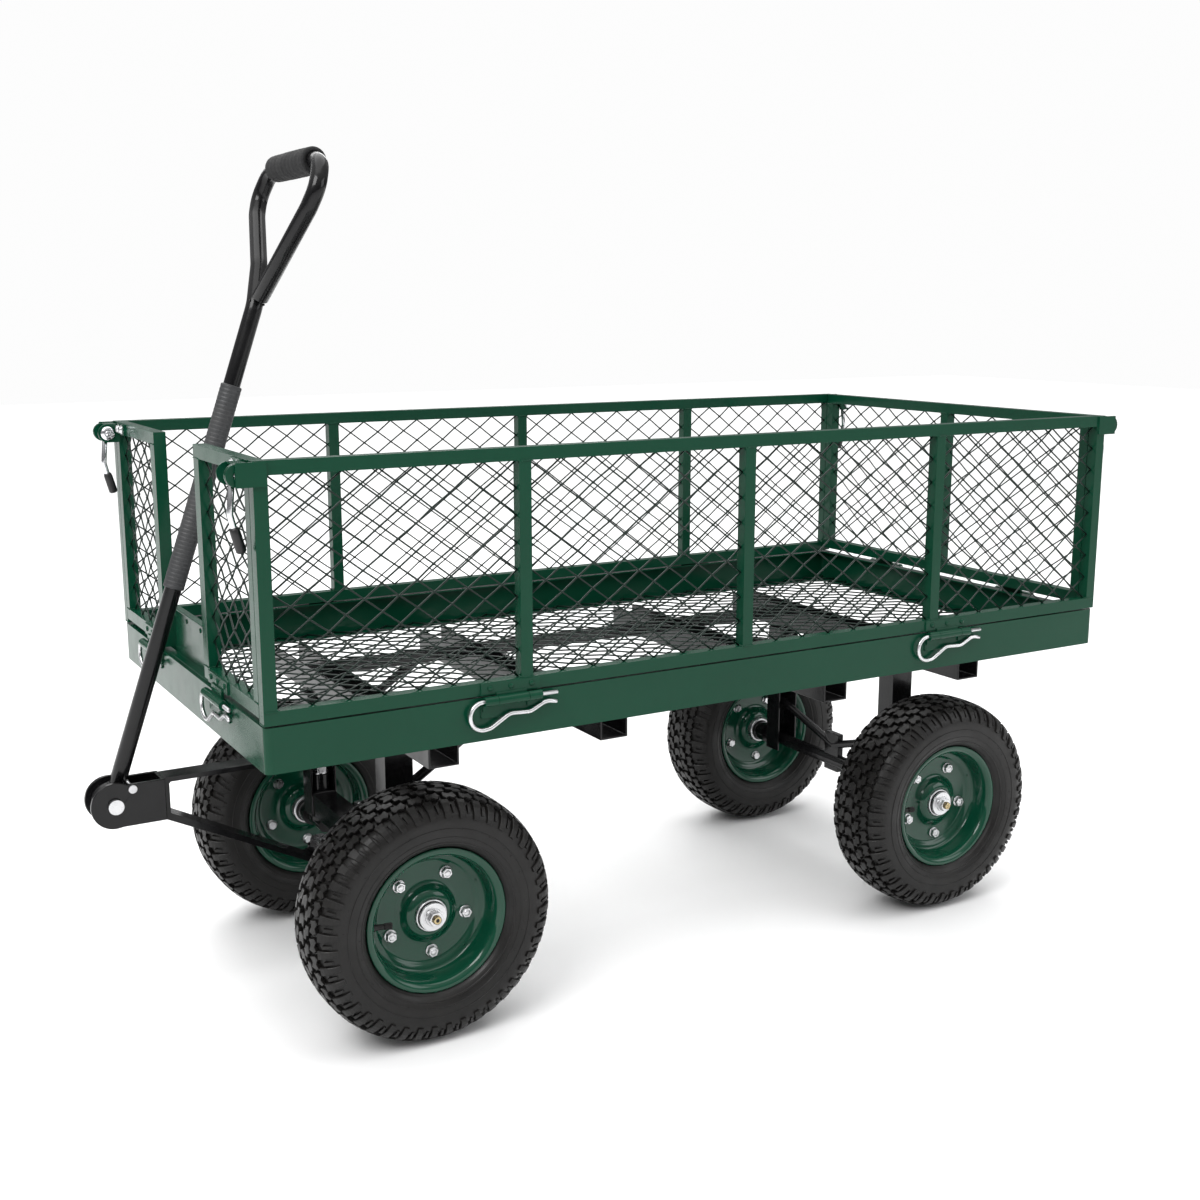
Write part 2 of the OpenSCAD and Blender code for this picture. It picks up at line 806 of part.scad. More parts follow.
module long_panel_mesh() {
    e = tray_l / 2;
    bay = tray_l / 4;
    z0 = rim_top + side_gap + bar;
    bay_mesh(-e + bar, -bay - bar / 2, z0);
    bay_mesh(-bay + bar / 2, -bar / 2, z0);
    bay_mesh(bar / 2, bay - bar / 2, z0);
    bay_mesh(bay + bar / 2, e - bar, z0);
}

module left_panel_frame() { color(green) at_edge("left") long_panel_frame(); }
module right_panel_frame() { color(green) at_edge("right") long_panel_frame(); }
module left_panel_mesh() { color(black) at_edge("left") long_panel_mesh(); }
module right_panel_mesh() { color(black) at_edge("right") long_panel_mesh(); }

module rear_panel_frame() {
    z0 = rim_top + end_gap;
    color(green)
        at_edge("rear") {
            tube_frame(-end_half, end_half, z0,
                [[-end_half, bar], [-bar / 2, bar], [end_half - bar, bar]]);
            for (s = [-1, 1]) {
                panel_leaf(s * end_hinge_y, z0);
                latch_bracket(s);
            }
        }
}

module rear_panel_mesh() {
    z0 = rim_top + end_gap + bar;
    color(black)
        at_edge("rear") {
            bay_mesh(-end_half + bar, -bar / 2, z0);
            bay_mesh(bar / 2, end_half - bar, z0);
        }
}

// half panel beside the front notch; s = -1 is the cart's left
module front_frame(s) {
    z0 = rim_top + end_gap;
    at_edge("front") {
        mirror([s < 0 ? 1 : 0, 0, 0]) {
            tube_frame(notch_half, end_half, z0, [[notch_half, notch_post], [end_half - bar, bar]]);
            panel_leaf(end_hinge_y, z0);
        }
        latch_bracket(s);
    }
}

module front_mesh(s) {
    at_edge("front")
        mirror([s < 0 ? 1 : 0, 0, 0])
            bay_mesh(notch_half + notch_post, end_half - bar, rim_top + end_gap + bar);
}

module front_left_frame() { color(green) front_frame(-1); }
module front_right_frame() { color(green) front_frame(1); }
module front_left_mesh() { color(black) front_mesh(-1); }
module front_right_mesh() { color(black) front_mesh(1); }

// ---------- latches and hairpins ----------

module latch_lever(edge, s) {
    at_edge(edge)
        mirror([s < 0 ? 1 : 0, 0, 0]) {
            color(zinc) {
                translate([end_half - 23.3, latch_out, latch_z])
                    rotate([0, 90, 0]) cylinder(h = 34.7, r = latch_pin_r);
                translate([end_half - 23.3, latch_out, latch_z])
                    rotate([0, 90, 0]) cylinder(h = 4, r = 9);
                wire([
                    [latch_u, latch_out, latch_z], [latch_u, latch_out + 4, latch_z - 40],
                    [latch_u, latch_out + 1, latch_z - 53], [latch_u, latch_out - 5, latch_z - 74]
                ], 3.5, 0.6);
            }
            color(black)
                rod([latch_u, latch_out + 0.6, latch_z - 54.4],
                    [latch_u, latch_out - 6.5, latch_z - 80], 5.5);
        }
}

module front_left_latch() { latch_lever("front", -1); }
module front_right_latch() { latch_lever("front", 1); }
module rear_left_latch() { latch_lever("rear", 1); }
module rear_right_latch() { latch_lever("rear", -1); }

// spring hairpin whose straight leg is the hinge pin; the loop is towards +X of the edge
module clip(edge, u) {
    r = 16;                           // radius of the loop
    loop = [for (t = [90 : -22.5 : -90]) [hinge_l / 2 + r * cos(t), 0, r * sin(t) - r]];
    tail = [
        [hinge_l / 2 - 8, 0, 1 - 2 * r], [2, 0, -17], [-22, 0, -18], [-40, 0, -9.6], [-47, 0, -9.2],
        [-56, 0, -11]
    ];
    color(zinc)
        at_edge(edge)
            translate([u, hinge_out, hinge_z]) {
                translate([-57, 0, 0])
                    rotate([0, 90, 0]) cylinder(h = 57 + hinge_l / 2, r = clip_r);
                wire(concat(loop, tail), clip_r, 0.5);
            }
}

module left_front_clip() { clip("left", side_hinge_x); }
module left_rear_clip() { clip("left", -side_hinge_x); }
module right_front_clip() { clip("right", side_hinge_x); }
module right_rear_clip() { clip("right", -side_hinge_x); }
module front_left_clip() { clip("front", -end_hinge_y); }
module front_right_clip() { clip("front", end_hinge_y); }
module rear_left_clip() { clip("rear", end_hinge_y); }
module rear_right_clip() { clip("rear", -end_hinge_y); }

module front_left_tyre() { at_wheel(front_x, 1) tyre(); }
module front_right_tyre() { at_wheel(front_x, -1) tyre(); }
module rear_left_tyre() { at_wheel(-rear_x, 1) tyre(); }
module rear_right_tyre() { at_wheel(-rear_x, -1) tyre(); }
module front_left_rim() { color(green) at_wheel(front_x, 1) rim(); }
module front_right_rim() { color(green) at_wheel(front_x, -1) rim(); }
module rear_left_rim() { color(green) at_wheel(-rear_x, 1) rim(); }
module rear_right_rim() { color(green) at_wheel(-rear_x, -1) rim(); }
module front_left_hub() { at_wheel(front_x, 1) hub(); }
module front_right_hub() { at_wheel(front_x, -1) hub(); }
module rear_left_hub() { at_wheel(-rear_x, 1) hub(); }
module rear_right_hub() { at_wheel(-rear_x, -1) hub(); }

tray_rim();
tray_hinge_leaves();
notch_sill();
tray_floor();
cross_channels();
front_posts();
rear_posts();
front_beam();
steering_head();
steering_bolts();
braces();
rear_axle();
rear_axle_nuts();
drawbar_fork();
clevis();
handle_pivot_bolt();
handle_tube();
handle_sleeve();
handle_grip();
left_knuckle();
right_knuckle();
left_knuckle_hardware();
right_knuckle_hardware();
left_tie_rod();
right_tie_rod();
front_left_tyre();
front_left_rim();
front_left_hub();
front_right_tyre();
front_right_rim();
front_right_hub();
rear_left_tyre();
rear_left_rim();
rear_left_hub();
rear_right_tyre();
rear_right_rim();
rear_right_hub();
left_panel_frame();
left_panel_mesh();
right_panel_frame();
right_panel_mesh();
rear_panel_frame();
rear_panel_mesh();
front_left_frame();
front_left_mesh();
front_right_frame();
front_right_mesh();
front_left_latch();
front_right_latch();
rear_left_latch();
rear_right_latch();
left_front_clip();
left_rear_clip();
right_front_clip();
right_rear_clip();
front_left_clip();
front_right_clip();
rear_left_clip();
rear_right_clip();
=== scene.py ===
"""Looks of the garden cart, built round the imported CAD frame. Lengths are in millimetres until V() turns them
into metres; x is measured from the tray's middle, which lies MID behind the row's origin."""
import json
import math
import random

import bpy
from mathutils import Matrix, Quaternion, Vector

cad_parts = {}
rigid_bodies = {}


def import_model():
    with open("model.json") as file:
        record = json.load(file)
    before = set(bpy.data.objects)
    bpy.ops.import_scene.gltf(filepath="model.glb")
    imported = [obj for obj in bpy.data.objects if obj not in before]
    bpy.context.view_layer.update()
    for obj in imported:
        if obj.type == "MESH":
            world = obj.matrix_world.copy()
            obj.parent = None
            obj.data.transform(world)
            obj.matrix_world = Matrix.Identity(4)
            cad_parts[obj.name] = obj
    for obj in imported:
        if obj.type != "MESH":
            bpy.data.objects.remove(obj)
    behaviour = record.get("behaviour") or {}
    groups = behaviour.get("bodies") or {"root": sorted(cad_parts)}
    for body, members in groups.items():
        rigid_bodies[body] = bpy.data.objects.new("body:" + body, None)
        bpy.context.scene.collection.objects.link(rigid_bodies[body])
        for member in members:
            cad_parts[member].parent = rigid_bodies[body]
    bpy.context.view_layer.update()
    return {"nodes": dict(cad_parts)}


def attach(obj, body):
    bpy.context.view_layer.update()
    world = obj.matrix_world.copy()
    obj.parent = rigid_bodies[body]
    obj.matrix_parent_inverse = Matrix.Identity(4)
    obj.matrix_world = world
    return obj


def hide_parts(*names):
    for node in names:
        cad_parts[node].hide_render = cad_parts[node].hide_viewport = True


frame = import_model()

MID = 48.0
random.seed(7)


def V(x, y, z):
    return Vector(((x - MID) / 1000, y / 1000, z / 1000))


# ---------------------------------------------------------------- materials
def material(name, colour, rough, metal=0.0, tint=0.25, tint_scale=9.0, bump=0.15, bump_scale=700.0,
             coat=0.0, dust=0.0, dust_colour=(0.3, 0.27, 0.22), spread=0.12, voronoi=0.0, voronoi_scale=500.0,
             spec=0.5):
    m = bpy.data.materials.new(name)
    m.use_nodes = True
    nt = m.node_tree
    n, link = nt.nodes, nt.links.new
    b = n["Principled BSDF"]
    b.inputs["Metallic"].default_value = metal
    b.inputs["Coat Weight"].default_value = coat
    b.inputs["Coat Roughness"].default_value = 0.08
    b.inputs["Specular IOR Level"].default_value = spec
    where = n.new("ShaderNodeTexCoord")
    soft = n.new("ShaderNodeTexNoise")
    soft.inputs["Scale"].default_value = tint_scale
    soft.inputs["Detail"].default_value = 5.0
    soft.inputs["Roughness"].default_value = 0.62
    link(where.outputs["Object"], soft.inputs["Vector"])
    mix = n.new("ShaderNodeMix")
    mix.data_type = "RGBA"
    lo = [c * (1 - tint) for c in colour] + [1]
    hi = [min(1, c * (1 + tint)) for c in colour] + [1]
    mix.inputs["A"].default_value = lo
    mix.inputs["B"].default_value = hi
    link(soft.outputs["Fac"], mix.inputs["Factor"])
    out = mix.outputs["Result"]
    grain = n.new("ShaderNodeTexNoise")
    grain.inputs["Scale"].default_value = bump_scale
    grain.inputs["Detail"].default_value = 3.0
    link(where.outputs["Object"], grain.inputs["Vector"])
    if dust:
        # dust lies where the surface looks up, and in patches
        normal = n.new("ShaderNodeNewGeometry")
        split = n.new("ShaderNodeSeparateXYZ")
        link(normal.outputs["Normal"], split.inputs["Vector"])
        up = n.new("ShaderNodeMapRange")
        up.inputs["From Min"].default_value = -0.4
        up.inputs["From Max"].default_value = 1.0
        link(split.outputs["Z"], up.inputs["Value"])
        patch = n.new("ShaderNodeTexNoise")
        patch.inputs["Scale"].default_value = 26.0
        patch.inputs["Detail"].default_value = 7.0
        patch.inputs["Roughness"].default_value = 0.7
        link(where.outputs["Object"], patch.inputs["Vector"])
        ramp = n.new("ShaderNodeMapRange")
        ramp.inputs["From Min"].default_value = 0.42
        ramp.inputs["From Max"].default_value = 0.75
        ramp.inputs["To Max"].default_value = dust
        link(patch.outputs["Fac"], ramp.inputs["Value"])
        both = n.new("ShaderNodeMath")
        both.operation = "MULTIPLY"
        link(up.outputs["Result"], both.inputs[0])
        link(ramp.outputs["Result"], both.inputs[1])
        dusty = n.new("ShaderNodeMix")
        dusty.data_type = "RGBA"
        dusty.inputs["B"].default_value = list(dust_colour) + [1]
        link(out, dusty.inputs["A"])
        link(both.outputs["Value"], dusty.inputs["Factor"])
        out = dusty.outputs["Result"]
    link(out, b.inputs["Base Color"])
    sheen = n.new("ShaderNodeMapRange")
    sheen.inputs["From Min"].default_value = 0.3
    sheen.inputs["From Max"].default_value = 0.7
    sheen.inputs["To Min"].default_value = max(0.02, rough - spread)
    sheen.inputs["To Max"].default_value = min(1.0, rough + spread)
    mid = n.new("ShaderNodeTexNoise")
    mid.inputs["Scale"].default_value = 45.0
    mid.inputs["Detail"].default_value = 6.0
    link(where.outputs["Object"], mid.inputs["Vector"])
    link(mid.outputs["Fac"], sheen.inputs["Value"])
    link(sheen.outputs["Result"], b.inputs["Roughness"])
    height = grain.outputs["Fac"]
    if voronoi:
        cells = n.new("ShaderNodeTexVoronoi")
        cells.inputs["Scale"].default_value = voronoi_scale
        link(where.outputs["Object"], cells.inputs["Vector"])
        add = n.new("ShaderNodeMath")
        add.operation = "MULTIPLY_ADD"
        add.inputs[1].default_value = voronoi
        link(cells.outputs["Distance"], add.inputs[0])
        link(grain.outputs["Fac"], add.inputs[2])
        height = add.outputs["Value"]
    bumps = n.new("ShaderNodeBump")
    bumps.inputs["Strength"].default_value = bump
    bumps.inputs["Distance"].default_value = 0.0006
    link(height, bumps.inputs["Height"])
    link(bumps.outputs["Normal"], b.inputs["Normal"])
    return m


GREEN = material("green_powder_coat", (0.0022, 0.043, 0.0215), 0.20, tint=0.14, bump=0.10, bump_scale=420,
                 coat=0.04, dust=0.01, spread=0.05, spec=0.16)
RIM_GREEN = material("green_wheel_paint", (0.0022, 0.046, 0.024), 0.13, tint=0.14, bump=0.06, bump_scale=420,
                     coat=0.30, dust=0.01, spread=0.04, spec=0.26)
WIRE = material("dark_green_wire", (0.003, 0.012, 0.008), 0.34, tint=0.4, tint_scale=60, bump=0.2, bump_scale=900,
                spread=0.1, spec=0.3)
BLACK = material("black_gloss_paint", (0.0045, 0.0045, 0.005), 0.20, tint=0.3, bump=0.08, bump_scale=380,
                 coat=0.10, dust=0.015, spread=0.07, spec=0.24)
ZINC = material("zinc_plate", (0.60, 0.60, 0.61), 0.30, metal=1.0, tint=0.16, tint_scale=70, bump=0.12,
                bump_scale=500, spread=0.12, voronoi=0.5, voronoi_scale=160)
BRASS = material("yellow_zinc_plate", (0.50, 0.40, 0.22), 0.34, metal=1.0, tint=0.2, tint_scale=70, bump=0.12,
                 bump_scale=500, spread=0.12)
CHROME = material("bright_lever_plate", (0.72, 0.73, 0.75), 0.14, metal=1.0, tint=0.08, tint_scale=50, bump=0.05,
                  bump_scale=500, spread=0.07)
TYRE = material("tyre_rubber", (0.0060, 0.0055, 0.0052), 0.42, tint=0.35, tint_scale=30, bump=0.30, bump_scale=650,
                dust=0.14, dust_colour=(0.045, 0.038, 0.030), spread=0.10, spec=0.30)
SEAL = material("black_vinyl", (0.007, 0.007, 0.0075), 0.45, tint=0.3, tint_scale=80, bump=0.2, bump_scale=900)
SLEEVE = material("grey_plastic_sleeve", (0.030, 0.031, 0.033), 0.55, tint=0.2, tint_scale=25, bump=0.35,
                  bump_scale=800, dust=0.08, spread=0.1)
FOAM = material("black_foam", (0.007, 0.007, 0.0075), 0.86, tint=0.3, tint_scale=80, bump=0.9, bump_scale=1100,
                dust=0.10, dust_colour=(0.12, 0.12, 0.12), spread=0.1, voronoi=0.9, voronoi_scale=700)
FLOOR = material("pale_floor", (0.86, 0.86, 0.86), 0.6, tint=0.012, tint_scale=3, bump=0.02, bump_scale=120,
                 spread=0.05)


# ---------------------------------------------------------------- mesh helpers (all in millimetres)
class Shape:
    """Collects vertices, faces and a material index for each face."""

    def __init__(self):
        self.v, self.f, self.m, self.s = [], [], [], []

    def add(self, verts, faces, mat=0, smooth=True, at=None):
        k = len(self.v)
        self.v += [at @ Vector(p) if at else Vector(p) for p in verts]
        self.f += [tuple(i + k for i in f) for f in faces]
        self.m += [mat] * len(faces)
        self.s += [smooth] * len(faces)

    def join(self, other):
        k = len(self.v)
        self.v += [p.copy() for p in other.v]
        self.f += [tuple(i + k for i in f) for f in other.f]
        self.m += other.m
        self.s += other.s

    def flipped(self):
        """The same shape mirrored in y."""
        out = Shape()
        out.v = [Vector((p.x, -p.y, p.z)) for p in self.v]
        out.f = [f[::-1] for f in self.f]
        out.m, out.s = self.m, self.s
        return out

    def mesh(self, name, mats, local=False):
        me = bpy.data.meshes.new(name)
        pts = [p / 1000 for p in self.v] if local else [V(*p) for p in self.v]
        me.from_pydata(pts, [], self.f)
        for mt in mats:
            me.materials.append(mt)
        me.polygons.foreach_set("material_index", self.m)
        me.polygons.foreach_set("use_smooth", self.s)
        me.update()
        return me


def place(name, mesh, body, stands_for=(), at=None):
    o = bpy.data.objects.new(name, mesh)
    bpy.context.scene.collection.objects.link(o)
    if at is not None:
        o.matrix_world = at
    bpy.context.view_layer.update()
    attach(o, body)
    if stands_for:
        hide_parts(*stands_for)
    return o


def put(name, shape, mats, body, stands_for=()):
    return place(name, shape.mesh(name, mats), body, stands_for)


def bent(pts, radius, steps=7):
    """The polyline with its corners rounded to the given bend radius."""
    pts = [Vector(p) for p in pts]
    out = [pts[0]]
    for a, b, c in zip(pts, pts[1:], pts[2:]):
        u, w = (a - b).normalized(), (c - b).normalized()
        ang = u.angle(w)
        if ang > math.pi - 0.01:
            out.append(b)
            continue
        cut = min(radius / math.tan(ang / 2), 0.48 * (a - b).length, 0.48 * (c - b).length)
        r = cut * math.tan(ang / 2)
        centre = b + (u + w).normalized() * (r / math.sin(ang / 2))
        p, q = b + u * cut - centre, b + w * cut - centre
        turn = p.rotation_difference(q)
        for i in range(steps + 1):
            out.append(centre + Quaternion().slerp(turn, i / steps) @ p)
    out.append(pts[-1])
    return out


def tube(path, r, sides=16, ends=0.25, shape=None, mat=0):
    """A round bar along a path. r is a number or one for each point; the ends are domed by ends times r."""
    path = [Vector(p) for p in path]
    rs = list(r) if isinstance(r, (list, tuple)) else [r] * len(path)
    t0, t1 = (path[1] - path[0]).normalized(), (path[-1] - path[-2]).normalized()
    if ends:
        path = [path[0], path[0] + t0 * rs[0] * ends] + path[1:-1] + [path[-1] - t1 * rs[-1] * ends, path[-1]]
        rs = [rs[0] * (1 - 0.8 * ends), rs[0]] + rs[1:-1] + [rs[-1], rs[-1] * (1 - 0.8 * ends)]
    tang = [(path[min(i + 1, len(path) - 1)] - path[max(i - 1, 0)]).normalized() for i in range(len(path))]
    side = tang[0].orthogonal().normalized()
    verts, faces = [], []
    for i, p in enumerate(path):
        if i:
            side = (tang[i - 1].rotation_difference(tang[i]) @ side).normalized()
        side = (side - tang[i] * side.dot(tang[i])).normalized()
        other = tang[i].cross(side)
        for k in range(sides):
            a = 2 * math.pi * k / sides
            verts.append(p + (side * math.cos(a) + other * math.sin(a)) * rs[i])
    for i in range(len(path) - 1):
        for k in range(sides):
            a, b = i * sides + k, i * sides + (k + 1) % sides
            faces.append((a, b, b + sides, a + sides))
    faces.append(tuple(range(sides))[::-1])
    faces.append(tuple((len(path) - 1) * sides + k for k in range(sides)))
    shape = shape or Shape()
    shape.add(verts, faces, mat)
    return shape


def lathe(profile, steps=64, shape=None, mat=0, closed=False, at=None):
    """Turns a profile of (radius, y) round the Y axis."""
    n = len(profile)
    verts = [(r * math.cos(2 * math.pi * k / steps), y, r * math.sin(2 * math.pi * k / steps))
             for k in range(steps) for r, y in profile]
    faces = []
    for k in range(steps):
        for i in range(n if closed else n - 1):
            a, b = k * n + i, k * n + (i + 1) % n
            c, d = ((k + 1) % steps) * n + (i + 1) % n, ((k + 1) % steps) * n + i
            faces.append((a, d, c, b))
    shape = shape or Shape()
    shape.add(verts, faces, mat, True, at)
    return shape


def hexagon(r, h, shape, mat, at, dome=0.8):
    """A hex head standing on the XZ plane along +Y, with a chamfered top."""
    ring = [(math.cos(math.pi * k / 3), math.sin(math.pi * k / 3)) for k in range(6)]
    verts, faces = [], []
    for y, s in ((0, 1), (h - dome, 1), (h, 0.86)):
        verts += [(r * s * c, y, r * s * d) for c, d in ring]
    for i in range(2):
        for k in range(6):
            a, b = i * 6 + k, i * 6 + (k + 1) % 6
            faces.append((a, a + 6, b + 6, b))
    faces.append(tuple(range(12, 18))[::-1])
    shape.add(verts, faces, mat, False, at)


def bar_weld(a, b, r, shape, mat=0):
    """A slightly lumpy weld bead from a to b."""
    a, b = Vector(a), Vector(b)
    n = max(4, int((b - a).length / 1.6))
    pts = [a.lerp(b, i / n) for i in range(n + 1)]
    rs = [r * (0.82 + 0.3 * (i % 2) + 0.1 * random.random()) for i in range(n + 1)]
    tube(pts, rs, 8, 0.3, shape, mat)


def dome_head(r, h, shape, mat, at):
    lathe([(r, 0), (r, h * 0.35), (r * 0.86, h * 0.75), (r * 0.5, h), (0.01, h)], 20, shape, mat, at=at)


def to_axis(pos, axis):
    """Matrix that takes local +Y to the axis, at a place."""
    q = Vector((0, 1, 0)).rotation_difference(Vector(axis).normalized())
    return Matrix.Translation(Vector(pos)) @ q.to_matrix().to_4x4()


# ---------------------------------------------------------------- CAD nodes that stay in view
PAINTED = {
    GREEN: ["tray_rim", "tray_hinge_leaves", "notch_sill", "left_panel_frame", "right_panel_frame",
            "rear_panel_frame", "front_left_frame", "front_right_frame"],
    BLACK: ["cross_channels", "front_posts", "rear_posts", "front_beam", "steering_head", "braces", "rear_axle",
            "drawbar_fork", "clevis", "left_knuckle", "right_knuckle", "left_tie_rod", "right_tie_rod"],
    ZINC: ["steering_bolts", "rear_axle_nuts", "handle_pivot_bolt", "left_knuckle_hardware",
           "right_knuckle_hardware"],
}
for mat, names in PAINTED.items():
    for name in names:
        o = frame["nodes"][name]
        o.data.materials.clear()
        o.data.materials.append(mat)
        weld = o.modifiers.new("weld", "WELD")
        weld.merge_threshold = 0.00001
        bevel = o.modifiers.new("bevel", "BEVEL")
        bevel.width = 0.0007 if mat is not ZINC else 0.0005
        bevel.segments = 2
        bevel.limit_method = "ANGLE"
        bevel.angle_limit = math.radians(40)
        bevel.harden_normals = False
        for poly in o.data.polygons:
            poly.use_smooth = True
        normals = o.modifiers.new("normals", "WEIGHTED_NORMAL")
        normals.keep_sharp = False
        normals.weight = 80

# ---------------------------------------------------------------- sizes, as in the CAD
TRAY_L, TRAY_W, TRAY_Z, RIM_TOP, PANEL_TOP = 1220, 610, 376, 426, 702
BAR, BAY = 15, 305
HALF_L, HALF_W = TRAY_L / 2, TRAY_W / 2
END_HALF = HALF_W - BAR - 1
HINGE_OUT, HINGE_Z = 6.5, 422.5
SIDE_HINGE_X, END_HINGE_Y = 327, 146
FRONT_X, REAR_X, WHEEL_Y, AXLE_Z = 400, -394, 218, 152
KINGPIN_Y = 136
CHANNEL_X = (-406, -170, 170, 394)
NOTCH, NOTCH_BAR = 88, 20
PIVOT = Vector((705, 0, 274))
LEAN = math.radians(19.1)
GRIP_S = 785


def edge(side):
    """Local frame of one edge of the tray: X along it, Y outwards from the rim's face, Z up."""
    if side == "left":
        return Matrix.Translation((0, HALF_W, 0))
    if side == "right":
        return Matrix.Scale(-1, 4, (0, 1, 0)) @ Matrix.Translation((0, HALF_W, 0))
    turn = -90 if side == "front" else 90
    return Matrix.Rotation(math.radians(turn), 4, "Z") @ Matrix.Translation((0, HALF_L, 0))


# ---------------------------------------------------------------- woven wire
def knot(shape, c, r):
    """Small weld bead, squarish like the real ones."""
    k = r * 0.72
    pts = [(-k, -k, -k), (k, -k, -k), (k, k, -k), (-k, k, -k), (-k, -k, k), (k, -k, k), (k, k, k), (-k, k, k)]
    quads = [(0, 3, 2, 1), (4, 5, 6, 7), (0, 1, 5, 4), (1, 2, 6, 5), (2, 3, 7, 6), (3, 0, 4, 7)]
    shape.add([c + Vector(p) for p in pts], quads)


def wires(shape, u0, u1, w0, w1, place_at, r=1.05, pitch=42.0, rise=31.5, weave=0.75, sides=6, reach=3.0):
    """Diamond mesh filling the rectangle u0..u1 by w0..w1, knotted where the wires cross. place_at(u, w, off) gives
    the point in the cart."""
    px = (u1 - u0) / round((u1 - u0) / pitch)
    pz = (w1 - w0) / round((w1 - w0) / rise)
    nu, nw = round((u1 - u0) / px), round((w1 - w0) / pz)
    for sign in (1, -1):
        for k in range(-nw, nu + 1) if sign > 0 else range(0, nu + nw + 1):
            # along the line, u = u0 + px * (k + sign * t), w = w0 + pz * t
            t0 = max(0, -k) if sign > 0 else max(0, k - nu)
            t1 = min(nw, nu - k) if sign > 0 else min(nw, k)
            if t1 - t0 < 0.4:
                continue
            pts, n = [], int(round((t1 - t0) * 2))
            for i in range(n + 1):
                t = t0 + (t1 - t0) * i / n
                end = -reach / px if i == 0 else reach / px if i == n else 0
                u, w = u0 + px * (k + sign * (t + end)), w0 + pz * (t + end)
                over = 1 if (i + k) % 2 == 0 else -1
                off = weave * over * sign
                wob = 0.5 * math.sin(u * 0.31 + w * 0.17 + k)
                pts.append(place_at(u + wob, w, off))
                if sign > 0 and 0 < i < n:
                    knot(shape, place_at(u, w, 0), r + 0.75)
            tube(pts, r, sides, 0, shape)


def bay_wires(shape, m, u0, u1, z0):
    wires(shape, u0, u1, z0, PANEL_TOP - BAR, lambda u, w, off: m @ Vector((u, off - BAR / 2, w)))


for side in ("left", "right"):
    s, m = Shape(), edge(side)
    for i in range(4):
        lo, hi = -HALF_L + BAY * i, -HALF_L + BAY * (i + 1)
        bay_wires(s, m, lo + (BAR if i == 0 else BAR / 2), hi - (BAR if i == 3 else BAR / 2), RIM_TOP + 2 + BAR)
    put(side + "_panel_wires", s, [WIRE], side + "_panel", [side + "_panel_mesh"])
s, m = Shape(), edge("rear")
bay_wires(s, m, -END_HALF + BAR, -BAR / 2, RIM_TOP + 8 + BAR)
bay_wires(s, m, BAR / 2, END_HALF - BAR, RIM_TOP + 8 + BAR)
put("rear_panel_wires", s, [WIRE], "rear_panel", ["rear_panel_mesh"])
for side, sg in (("left", -1), ("right", 1)):
    s, m = Shape(), edge("front")
    u = sorted((sg * (NOTCH + NOTCH_BAR), sg * (END_HALF - BAR)))
    bay_wires(s, m, u[0], u[1], RIM_TOP + 8 + BAR)
    put("front_%s_wires" % side, s, [WIRE], "front_%s_panel" % side, ["front_%s_mesh" % side])

s = Shape()
wires(s, -HALF_L + 6, HALF_L - 6, -HALF_W + 6, HALF_W - 6, lambda u, w, off: Vector((u, w, TRAY_Z + 3.6 + off)),
      r=1.25, weave=0.8, reach=0)
put("floor_wires", s, [WIRE], "chassis", ["tray_floor"])


# ---------------------------------------------------------------- welds, screws and end-cap seams on the panels
def frame_trim(side, body, u0, u1, z0, posts, leaves, ends):
    s, m = Shape(), edge(side)

    def weld(a, b, r=1.1):
        bar_weld(m @ Vector(a), m @ Vector(b), r, s)

    for a, b in posts:
        for z, d in ((z0 + BAR, 1), (PANEL_TOP - BAR, -1)):
            for u, w in ((a, -1), (b, 1)):
                if u0 < u < u1:
                    weld((u + 0.3 * w, 0.1, z + 0.3 * d), (u + 0.3 * w, -BAR, z + 0.3 * d))
            weld((a + 1, 0.15, z), (b - 1, 0.15, z), 0.9)
            weld((a + 1, -BAR - 0.15, z), (b - 1, -BAR - 0.15, z), 0.9)
    for u in leaves:
        for d in (-26, 0, 26):
            dome_head(3.4, 1.7, s, 0, to_axis(m @ Vector((u + d, 2, z0 + 8)), m.to_3x3() @ Vector((0, 1, 0))))
        weld((u - 36, 0.3, z0 + BAR - 1), (u + 36, 0.3, z0 + BAR - 1), 0.8)
    # seams of the caps on the tubes' open ends
    for u, w in ends:
        for z in (z0, PANEL_TOP - BAR):
            weld((u + 0.1 * w, -1.2, z + 1), (u + 0.1 * w, -BAR + 1.2, z + 1), 0.7)
    put(side + "_trim_" + body, s, [GREEN], body)


side_posts = [(-HALF_L, -HALF_L + BAR)] + [(i * BAY - BAR / 2, i * BAY + BAR / 2) for i in (-1, 0, 1)]
side_posts.append((HALF_L - BAR, HALF_L))
for side in ("left", "right"):
    frame_trim(side, side + "_panel", -HALF_L, HALF_L, RIM_TOP + 2, side_posts, (-SIDE_HINGE_X, SIDE_HINGE_X),
               ((-HALF_L, -1), (HALF_L, 1)))
frame_trim("rear", "rear_panel", -END_HALF, END_HALF, RIM_TOP + 8,
           [(-END_HALF, -END_HALF + BAR), (-BAR / 2, BAR / 2), (END_HALF - BAR, END_HALF)],
           (-END_HINGE_Y, END_HINGE_Y), ())
frame_trim("front", "front_left_panel", -END_HALF, -NOTCH, RIM_TOP + 8,
           [(-END_HALF, -END_HALF + BAR), (-NOTCH - NOTCH_BAR, -NOTCH)], (-END_HINGE_Y,), ())
frame_trim("front", "front_right_panel", NOTCH, END_HALF, RIM_TOP + 8,
           [(NOTCH, NOTCH + NOTCH_BAR), (END_HALF - BAR, END_HALF)], (END_HINGE_Y,), ())

